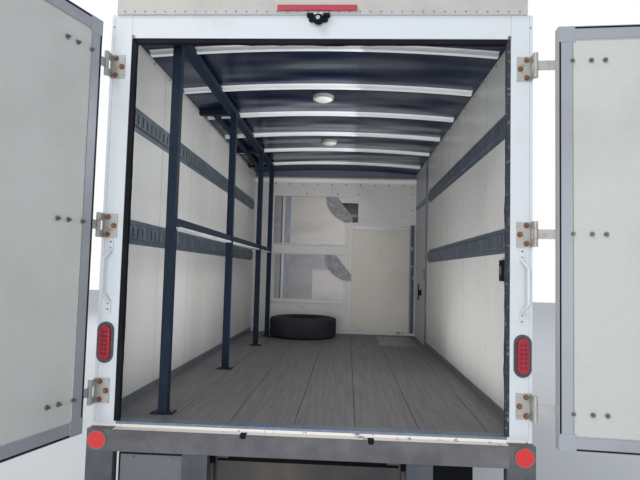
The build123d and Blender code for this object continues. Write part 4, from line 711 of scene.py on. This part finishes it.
# Load space walls: seams and screws, the switch box, the panel over the side door
wall = {
    "seamsAlong": (0.66, 1.26, 1.86, 2.46, 3.06), "doorStart": 2.9,
    "seam": ((0.9731, -0.004, 0.05), (0.9742, 0.004, 1.93), "wallSeam"),
    "screwsAlong": ((-1, (0.2, 0.26, 14)), (1, (0.2, 0.26, 11))),
    "screwRows": ((0.972, 1.9), (0.97, 0.032)), "screw": ((0, 0, 0), "x", 0.0055, 0.005, "boltSteel"),
    "switch": (
        ((0.96, 0.275, 0.7), (0.9738, 0.345, 0.81), "rubberBlack", 0.004),
        ((0.956, 0.298, 0.735), (0.961, 0.322, 0.778), "boltSteel", 0.002),
    ),
    "transom": ((0.9705, 3.085, 1.535), (0.9738, 3.845, 1.925), "sideDoorGrey", 0.001),
}


def wallDetails():
    seams = []
    for along in wall["seamsAlong"]:
        for side in both:
            if side < 0 or along < wall["doorStart"]:
                seams.append(sideBox(side, wall["seam"], at(0, along, 0)))
    joined("wallSeams", seams)
    spots = []
    for side, places in wall["screwsAlong"]:
        for along in row(*places):
            spots += [(side * across, along, up) for across, up in wall["screwRows"]]
    heads("wallScrews", wall["screw"], spots)
    joined("switchBox", [box(*part) for part in wall["switch"]])
    joined("transomPanel", [box(*wall["transom"])])


# Painted light in the slots of the tracks: pale strips just behind the track faces, so the slots read
# bright where they would lie in shade
slot = {
    "back": ((-0.0016, -0.0074, -0.0259), (0.0016, 0.0074, 0.0259), "paintedSlotLight"),
    "across": 0.9642, "up": (0.908, 1.506),
    "along": ((-1, (0.0825, 0.065, 57)), (1, (0.0825, 0.065, 42))),
}


def slotBacks():
    spots = []
    for side, places in slot["along"]:
        for along in row(*places):
            spots += [(side * slot["across"], along, up) for up in slot["up"]]
    joined("slotBacks", copies(box(*slot["back"]), spots))


# Cargo rack: a pale strip along the top of its middle rail, and two bolts in each post's foot
rack = {
    "lip": ((-0.737, 0.18, 0.925), (-0.693, 3.4, 0.9355), "lipWhite"),
    "posts": ((-0.737, 0.176), (-0.712, 1.414), (-0.707, 2.677), (-0.707, 3.404)),
    "boltsAcross": (-0.042, 0.042), "bolt": ((0, 0, 0.009), "z", 0.008, 0.006, "boltSteel", 6),
}


def rackDetails():
    joined("rackLip", [box(*rack["lip"])])
    spots = []
    for across, along in rack["posts"]:
        spots += [(across + reach, along, 0) for reach in rack["boltsAcross"]]
    heads("rackBolts", rack["bolt"], spots)


# Ceiling: the roof's inner sheet, its dark navy colour painted shade and dark reflection, and its hat
# bows, each a strip spun over the crown's arc, and two dome lamps
ceiling = {
    "radius": 11.3, "steps": 28, "half": 0.9735, "start": 0.058, "end": 3.8915, "sheet": 0.002,
    "skin": 1.961, "bow": 1.9335, "bows": (0.34, 0.95, 1.55, 2.15, 2.75, 3.4), "bowHalf": 0.95,
    "bowWidth": 0.032, "bowSoft": 0.004, "flangeWidth": 0.06, "flangeThick": 0.003,
}
dome = {
    "along": (1.18, 2.455), "rim": ((-0.03, 0, 1.95), "z", 0.073, 0.026, "sealGrey", 32),
    "lens": ((-0.03, 0, 1.938), 0.062, (1, 1, 0.3), "opalLamp"),
}


def crownStrip(start, end, top, half, thick, look, soft=0.0):
    centre = top - ceiling["radius"]
    swing = math.asin(half / ceiling["radius"])
    bpy.ops.object.select_all(action="DESELECT")
    bpy.ops.mesh.primitive_plane_add(size=1, location=(0, (start + end) / 2, top))
    piece = bpy.context.object
    piece.scale = (1, end - start, 1)
    only(piece)
    bpy.ops.object.transform_apply(location=True, rotation=True, scale=True)
    bpy.ops.object.mode_set(mode="EDIT")
    bpy.ops.mesh.select_all(action="SELECT")
    bpy.ops.mesh.merge(type="COLLAPSE")
    bpy.ops.mesh.select_all(action="SELECT")
    bpy.ops.transform.translate(value=(0, start - (start + end) / 2, 0))
    bpy.ops.mesh.extrude_region_move(TRANSFORM_OT_translate={"value": (0, end - start, 0)})
    bpy.ops.mesh.select_all(action="SELECT")
    bpy.ops.transform.rotate(value=-swing, orient_axis="Y", center_override=(0, 0, centre))
    spin = {"steps": ceiling["steps"], "angle": 2 * swing}
    bpy.ops.mesh.spin(**spin, center=(0, 0, centre), axis=(0, 1, 0))
    bpy.ops.object.mode_set(mode="OBJECT")
    applied(piece, "SOLIDIFY", thickness=thick, offset=0)
    if soft:
        applied(piece, "BEVEL", width=soft, segments=2, limit_method="ANGLE")
    return settle(piece, "crownStrip", look)


def ceilingSheet():
    skin, bow = ceiling["skin"], ceiling["bow"]
    size = (skin, ceiling["half"], ceiling["sheet"])
    joined("ceilingSheet", [crownStrip(ceiling["start"], ceiling["end"], *size, "roofSkin")])
    hat = ((skin + bow) / 2, ceiling["bowHalf"], skin - bow)
    flange = (skin - ceiling["flangeThick"], ceiling["bowHalf"], ceiling["flangeThick"])
    half, wide = ceiling["bowWidth"] / 2, ceiling["flangeWidth"] / 2
    bows = []
    for along in ceiling["bows"]:
        bows.append(crownStrip(along - half, along + half, *hat, "bowSteel", ceiling["bowSoft"]))
        bows.append(crownStrip(along - wide, along + wide, *flange, "bowSteel"))
    joined("ceilingBows", bows)


def ceilingLamps():
    for index, along in enumerate(dome["along"]):
        place = at(0, along, 0)
        lamp = [disc(*dome["rim"], place=place), ball(*dome["lens"], place=place)]
        joined("domeLamp." + str(index), lamp)


# Floor: screws in rows across the boards, and the plate at the side door
floor = {
    "joints": (-0.974, -0.663, -0.376, -0.07, 0.22, 0.517, 0.84, 0.974), "wide": 0.2,
    "margin": 0.04, "rows": (0.08, 0.3412, 12),
    "screw": ((0, 0, 0.0002), "z", 0.006, 0.0012, "boltSteel", 6),
    "plate": ((0.514, 2.93, 0.0005), (0.9, 3.7, 0.0035), "trimMetal", 0.0008),
}


def floorDetails():
    spots = []
    for along in row(*floor["rows"]):
        for left, right in zip(floor["joints"], floor["joints"][1:]):
            spots.append((left + floor["margin"], along, 0))
            if right - left > floor["wide"]:
                spots.append((right - floor["margin"], along, 0))
    heads("floorScrews", floor["screw"], spots)
    joined("floorPlate", [box(*floor["plate"])])


wallDetails()
slotBacks()
rackDetails()
ceilingSheet()
ceilingLamps()
floorDetails()

# Bulkhead, its y measured from its face: seams, screws, the worn post beside the panel, the
# scuffed strip below it
bulkhead = {
    "seams": (
        ((-0.039, -0.001, 1.64), (-0.036, 0.0005, 1.805), "sealGrey"),
        ((-0.73, -0.0012, 1.634), (0.14, 0.0005, 1.638), "boltSteel"),
        ((-0.71, -0.0012, 0.9345), (0.12, 0.0005, 0.937), "sealGrey"),
    ),
    "screwRow": ((-0.9, 0.172, 11), 1.785), "screw": ((0, -0.002, 0), "y", 0.0075, 0.004, "rubberBlack"),
    "screws": (
        (-0.34, 0, 1.67), (0.03, 0, 1.67), (0.29, 0, 1.67), (0.93, 0, 1.68), (0.93, 0, 1.765),
        (0.925, 0, 1.49), (0.82, 0, 1.42), (-0.36, 0, 0.3),
    ),
    "post": (
        ((0.902, -0.012, 0.03), (0.918, -0.0005, 1.3), "sealGrey"),
        ((0.918, -0.02, 0.03), (0.958, -0.0005, 1.31), "frameBlue"),
    ),
    "scuff": ((0.06, -0.006, 0.003), (0.91, -0.0003, 0.054), "scuffWhite"),
    "panelRow": ((0.25, 0.155, 5), 1.267), "panelScrew": ((0, -0.014, 0), "y", 0.0065, 0.004, "boltSteel"),
}


def bulkheadDetails():
    place = at(0, body["bulkhead"], 0)
    joined("bulkheadSeams", [box(*seam, place=place) for seam in bulkhead["seams"]])
    spots, up = bulkhead["screwRow"]
    spots = [(across, 0, up) for across in row(*spots)] + list(bulkhead["screws"])
    heads("bulkheadScrews", bulkhead["screw"], spots, place)
    joined("panelPost", [box(*part, place=place) for part in bulkhead["post"]])
    joined("scuffStrip", [box(*bulkhead["scuff"], place=place)])
    spots, up = bulkhead["panelRow"]
    heads("panelScrews", bulkhead["panelScrew"], [(across, 0, up) for across in row(*spots)], place)


bulkheadDetails()

# The upper sheet's two right corners, each a plate cut along a round bite
sheetCorner = {
    "thick": 0.003, "biteAcross": 0.2, "bite": (0.3052, 0.1, "sheetAluminium", 128),
    "corners": (
        ((-0.1, 1.062), (0.133, 1.25), 0.932, "INTERSECT"),
        ((0.086, 1.331), (0.133, 1.36), 1.633, "DIFFERENCE"),
    ),
}


def sheetCorners():
    face = body["bulkhead"]
    plates = []
    for low, high, up, cut in sheetCorner["corners"]:
        near = (low[0], face - sheetCorner["thick"], low[1])
        corner = box(near, (high[0], face, high[1]), "sheetAluminium")
        bite = disc((sheetCorner["biteAcross"], face, up), "y", *sheetCorner["bite"])
        plates.append(applied(corner, "BOOLEAN", operation=cut, object=bite, solver="EXACT"))
        bpy.data.objects.remove(bite)
    joined("sheetCorners", plates)


sheetCorners()

# Side door: lever and catch inside, handle outside
sideDoor = {
    "sideDoorLever": (
        ((0.955, 3.36, 0.5), (0.9738, 3.44, 0.56), "rubberBlack", 0.003),
        ((0.945, 3.385, 0.45), (0.957, 3.402, 0.62), "rubberBlack", 0.003),
        ((0.945, 3.385, 0.452), (0.957, 3.44, 0.468), "rubberBlack", 0.003),
        ((0.955, 3.14, 0.66), (0.9738, 3.17, 0.78), "boltSteel", 0.002),
    ),
    "sideDoorHandle": (
        ((1.006, 3.15, 0.6), (1.013, 3.21, 0.8), "rubberBlack", 0.003),
        ((1.0115, 3.165, 0.62), (1.0155, 3.185, 0.78), "boltSteel", 0.002),
    ),
}
for name, parts in sideDoor.items():
    joined(name, [box(*part) for part in parts], "side_door")
print("load space dressed")

# Outside of the load body: rivets along the rails, flat seam strips, side markers low on the walls
outside = {
    "rivetsAlong": (0.12, 0.13, 30), "rivetAcross": 1.0158, "rivetsUp": (1.92, -0.07),
    "rivet": ((0, 0, 0), "x", 0.0045, 0.0015, "trimMetal"), "sideDoor": (3.0, 3.9),
    "seamsAlong": (0.65, 1.25, 1.85, 2.45, 3.0),
    "seam": ((1.0097, -0.012, 0.0), (1.0115, 0.012, 1.855), "capWhite"),
    "markers": (
        ((1.0145, 0.13, -0.105), (1.0159, 0.19, -0.08), "lampRed", 0.0005),
        ((1.0145, 3.69, -0.105), (1.0159, 3.75, -0.08), "lampAmber", 0.0005),
    ),
}


def bodyOutside():
    high, low = outside["rivetsUp"]
    doorStart, doorEnd = outside["sideDoor"]
    spots = []
    for across in (-outside["rivetAcross"], outside["rivetAcross"]):
        for along in row(*outside["rivetsAlong"]):
            spots.append((across, along, high))
            if across < 0 or not doorStart < along < doorEnd:
                spots.append((across, along, low))
    heads("bodyRivets", outside["rivet"], spots)
    places = [at(0, along, 0) for along in outside["seamsAlong"]]
    joined("bodySeams", [sideBox(side, outside["seam"], place) for side in both for place in places])
    joined("sideMarkers", [sideBox(side, marker) for side in both for marker in outside["markers"]])


bodyOutside()


# Where a straight line first meets a CAD node at rest, as a place whose Z points off the surface
def surfacePlace(nodeName, start, heading):
    node = nodes[nodeName]
    inward = node.matrix_world.inverted()
    origin, way = inward @ Vector(start), inward.to_3x3() @ Vector(heading)
    hit, spot, normal = node.ray_cast(origin, way)[:3]
    if not hit:
        raise ValueError("no surface of " + nodeName)
    normal = (node.matrix_world.to_3x3() @ normal).normalized()
    turn = normal.to_track_quat("Z", "Y").to_matrix().to_4x4()
    return Matrix.Translation(node.matrix_world @ spot) @ turn


# Nose cap: the joint strips on the box, and five clearance lamps
cap = {
    "strip": ((1.0098, 3.918, -0.1), (1.0125, 3.937, 1.95), "trimMetal"),
    "lampsAcross": (-0.8, -0.16, 0.0, 0.16, 0.8), "lampsFrom": (6.0, 1.8),
    "lamp": ((0, 0, 0), 0.03, (1, 0.45, 0.4), "lampAmber"),
    "base": ((-0.036, -0.017, -0.004), (0.036, 0.017, 0.003), "rubberBlack", 0.002),
}


def capDetails():
    joined("capStrips", [sideBox(side, cap["strip"]) for side in both])
    lamps = []
    for across in cap["lampsAcross"]:
        place = surfacePlace("nose_cap", (across, *cap["lampsFrom"]), (0, -1, 0))
        lamps += [ball(*cap["lamp"], place), box(*cap["base"], place)]
    joined("clearanceLamps", lamps)


# Wipers: arm, blade and link lie on the glass, in a frame with X across, Y up the glass, Z off it
wiper = {
    "glassFoot": (0, 5.3, 0.54), "glassHead": (0, 4.85, 1.25), "across": (-0.52, 0.04),
    "up": 0.02, "off": 0.004, "turn": -78,
    "pivot": ((0, 0, 0.006), "z", 0.018, 0.016, "rubberBlack", 20),
    "boxes": (
        ((-0.008, 0, 0.008), (0.008, 0.36, 0.014), "rubberBlack", 0.002),
        ((-0.018, 0.12, 0.0), (-0.01, 0.62, 0.01), "rubberBlack", 0.002),
        ((-0.016, 0.335, 0.006), (0.006, 0.36, 0.013), "rubberBlack", 0.001),
    ),
}


def wipers():
    foot = Vector(wiper["glassFoot"])
    across = Vector((1, 0, 0))
    lean = (Vector(wiper["glassHead"]) - foot).normalized()
    glass = Matrix.Translation(foot) @ Matrix((across, lean, across.cross(lean))).transposed().to_4x4()
    turn = Matrix.Rotation(math.radians(wiper["turn"]), 4, "Z")
    parts = []
    for reach in wiper["across"]:
        place = glass @ at(reach, wiper["up"], wiper["off"]) @ turn
        parts.append(disc(*wiper["pivot"], place))
        parts += [box(*part, place) for part in wiper["boxes"]]
    joined("wipers", parts)


# Cab outside: mirror glass, side lamps, grille surround, radiator, fuel filler
cab = {
    "mirror": ((1.093, 4.8685, 0.532), (1.257, 4.8705, 0.848), "mirrorGlass"),
    "lampFrom": (1.5, 5.86, 0.12), "lamp": ((0, 0, 0), 0.035, (0.5, 1, 0.25), "lampAmber"),
    "surround": ((-0.492, -0.154), (0.492, 0.154), 0.014, 0.0, 0.006, "trimMetal"),
    "surroundAt": (0, 6.097, 0.1125), "surroundTilt": 2.4,
    "radiator": ((-0.478, 6.03, -0.028), (0.478, 6.0605, 0.253), "rubberBlack"),
    "fin": ((-0.001, 6.059, -0.02), (0.001, 6.062, 0.245), "engineIron"), "fins": (-0.45, 0.02, 46),
    "filler": ((-1.0118, 2.3, 0.04), (-1.0095, 2.46, 0.2), "capWhite", 0.001),
    "fillerCap": ((-1.0125, 2.38, 0.12), "x", 0.038, 0.004, "rubberBlack", 24),
}


def cabOutside():
    across, along, up = cab["lampFrom"]
    for side, hand in zip(both, ("left", "right")):
        joined("mirrorGlass." + hand, [sideBox(side, cab["mirror"])], "cab_door_" + hand)
        place = surfacePlace("nose_panels", (side * across, along, up), (-side, 0, 0))
        joined("fenderLamp." + hand, [ball(*cab["lamp"], place)])
    tilt = Matrix.Rotation(math.radians(cab["surroundTilt"]), 4, "X")
    joined("grilleSurround", [standingFrame(*cab["surround"], at(*cab["surroundAt"]) @ tilt)])
    radiator = box(*cab["radiator"])
    fins = copies(box(*cab["fin"]), [(across, 0, 0) for across in row(*cab["fins"])])
    joined("radiator", [radiator] + fins)
    joined("fuelFiller", [box(*cab["filler"]), disc(*cab["fillerCap"])])


# Wheel nuts, one set for each wheel
nuts = {"count": 8, "circle": 0.083, "out": 0.059, "nut": ((0, 0, 0), "x", 0.013, 0.018, "boltSteel", 6)}


def wheelNuts(end, hand):
    spots = []
    for angle in row(0, 2 * math.pi / nuts["count"], nuts["count"]):
        spots.append((0, nuts["circle"] * math.cos(angle), nuts["circle"] * math.sin(angle)))
    across = hands[hand] * (wheel["across"][end] + nuts["out"])
    place = at(across, wheel["along"][end], wheel["up"])
    heads("wheelNuts." + end + "." + hand, nuts["nut"], spots, place, "wheel_" + end + "_" + hand)


# Cab inside: instrument hood with its glass, vents, and two pedals with their arms
cabin = {
    "hood": ((-0.6, 4.915, 0.475), (-0.3, 4.985, 0.53), "rubberBlack", 0.012),
    "dials": ((-0.585, 4.912, 0.482), (-0.315, 4.917, 0.522), "mirrorGlass"),
    "ventsAt": (-0.8, 0.12, 0.3, 0.75),
    "vent": ((-0.05, 4.902, 0.395), (0.05, 4.93, 0.43), "rubberBlack", 0.003),
    "pedals": (
        ((-0.565, 5.05, -0.02), (-0.475, 5.065, 0.05), "rubberBlack", 0.004),
        ((-0.528, 5.06, 0.03), (-0.512, 5.18, 0.045), "boltSteel"),
        ((-0.425, 5.05, -0.02), (-0.375, 5.065, 0.05), "rubberBlack", 0.004),
        ((-0.408, 5.06, 0.03), (-0.392, 5.18, 0.045), "boltSteel"),
    ),
}


def cabInside():
    vents = [box(*cabin["vent"], place=at(across, 0, 0)) for across in cabin["ventsAt"]]
    joined("dashDetails", [box(*cabin["hood"]), box(*cabin["dials"])] + vents)
    joined("pedals", [box(*part) for part in cabin["pedals"]])


capDetails()
wipers()
cabOutside()
for hand in hands:
    for end in wheel["along"]:
        wheelNuts(end, hand)
cabInside()
print("cab dressed")

# Stage: pale ground, a world that is white to the camera and greyer as light, soft area lights.
# Each light has its place, where it aims, its size, its power and its colour. Only lights wider
# than "glossyFrom" are seen in reflections.
stage = {
    "ground": 60, "middle": (0, 3), "worldLight": (0.58, 0.62, 0.68), "worldSeen": (1.0, 1.0, 1.0),
    "glossyFrom": 2,
    "lights": {
        "keyLight": ((-3.6, -4.6, 7.0), (0, 0.2, 0.8), (2.5, 2.5), 195, (1.0, 0.97, 0.92)),
        "bounceLight": ((-0.8, -7.5, 0.8), (0, 2.0, 1.2), (5.0, 3.0), 260, (0.98, 0.99, 1.0)),
        "loadLight": ((0.4, 1.7, 1.68), (-0.75, 1.7001, 0.9), (3.0, 0.6), 15, (0.96, 0.98, 1.0)),
        "floorLight": ((0.1, 1.0, 0.04), (0.1, 1.0001, 2.0), (1.3, 1.7), 17, (0.98, 0.98, 1.0)),
        "frontLight": ((-5.5, 13.0, 7.0), (0, 4.5, 0.6), (4.0, 4.0), 380, (1.0, 0.98, 0.95)),
    },
}


def setGround():
    place = (*stage["middle"], body["ground"])
    bpy.ops.mesh.primitive_plane_add(size=stage["ground"], location=place)
    ground = settle(bpy.context.object, "paleGround", "paleGround")


def setWorld():
    world = bpy.data.worlds.new("studio")
    bpy.context.scene.world = world
    world.use_nodes = True
    tree = world.node_tree
    seen = addNode(tree, "ShaderNodeLightPath").outputs["Is Camera Ray"]
    shade = mixColors(tree, seen, stage["worldLight"], stage["worldSeen"])
    feed(tree, tree.nodes["Background"].inputs["Color"], shade)


def areaLight(name, place, aim, size, power, color):
    data = bpy.data.lights.new(name, "AREA")
    data.shape = "RECTANGLE"
    data.size, data.size_y = size
    data.energy = power
    data.color = color
    lamp = bpy.data.objects.new(name, data)
    bpy.context.collection.objects.link(lamp)
    lamp.location = place
    lamp.rotation_euler = (Vector(aim) - Vector(place)).to_track_quat("-Z", "Y").to_euler()
    lamp.visible_camera = False
    lamp.visible_glossy = size[0] > stage["glossyFrom"]


setGround()
setWorld()
for name, settings in stage["lights"].items():
    areaLight(name, *settings)

# Camera, as solved from the photo: the focal length and the width are in pixels, the sensor in
# millimetres and the turns in radians
shot = {
    "place": (0.1654, -2.4945, 0.7222), "focal": 531.77, "width": 640, "sensor": 36,
    "yaw": 0.0523, "pitch": 0.0606, "roll": 0.026,
}


def setCamera():
    data = bpy.data.cameras.new("camera")
    data.sensor_width = shot["sensor"]
    data.lens = shot["sensor"] * shot["focal"] / shot["width"]
    camera = bpy.data.objects.new("camera", data)
    bpy.context.collection.objects.link(camera)
    level = math.pi / 2
    turns = ((shot["yaw"], "Z"), (level + shot["pitch"], "X"), (shot["roll"], "Z"))
    place = at(*shot["place"])
    for angle, axis in turns:
        place = place @ Matrix.Rotation(angle, 4, axis)
    camera.matrix_world = place
    bpy.context.scene.camera = camera
    bpy.context.scene.view_settings.view_transform = "Standard"


setCamera()
print("finishing")
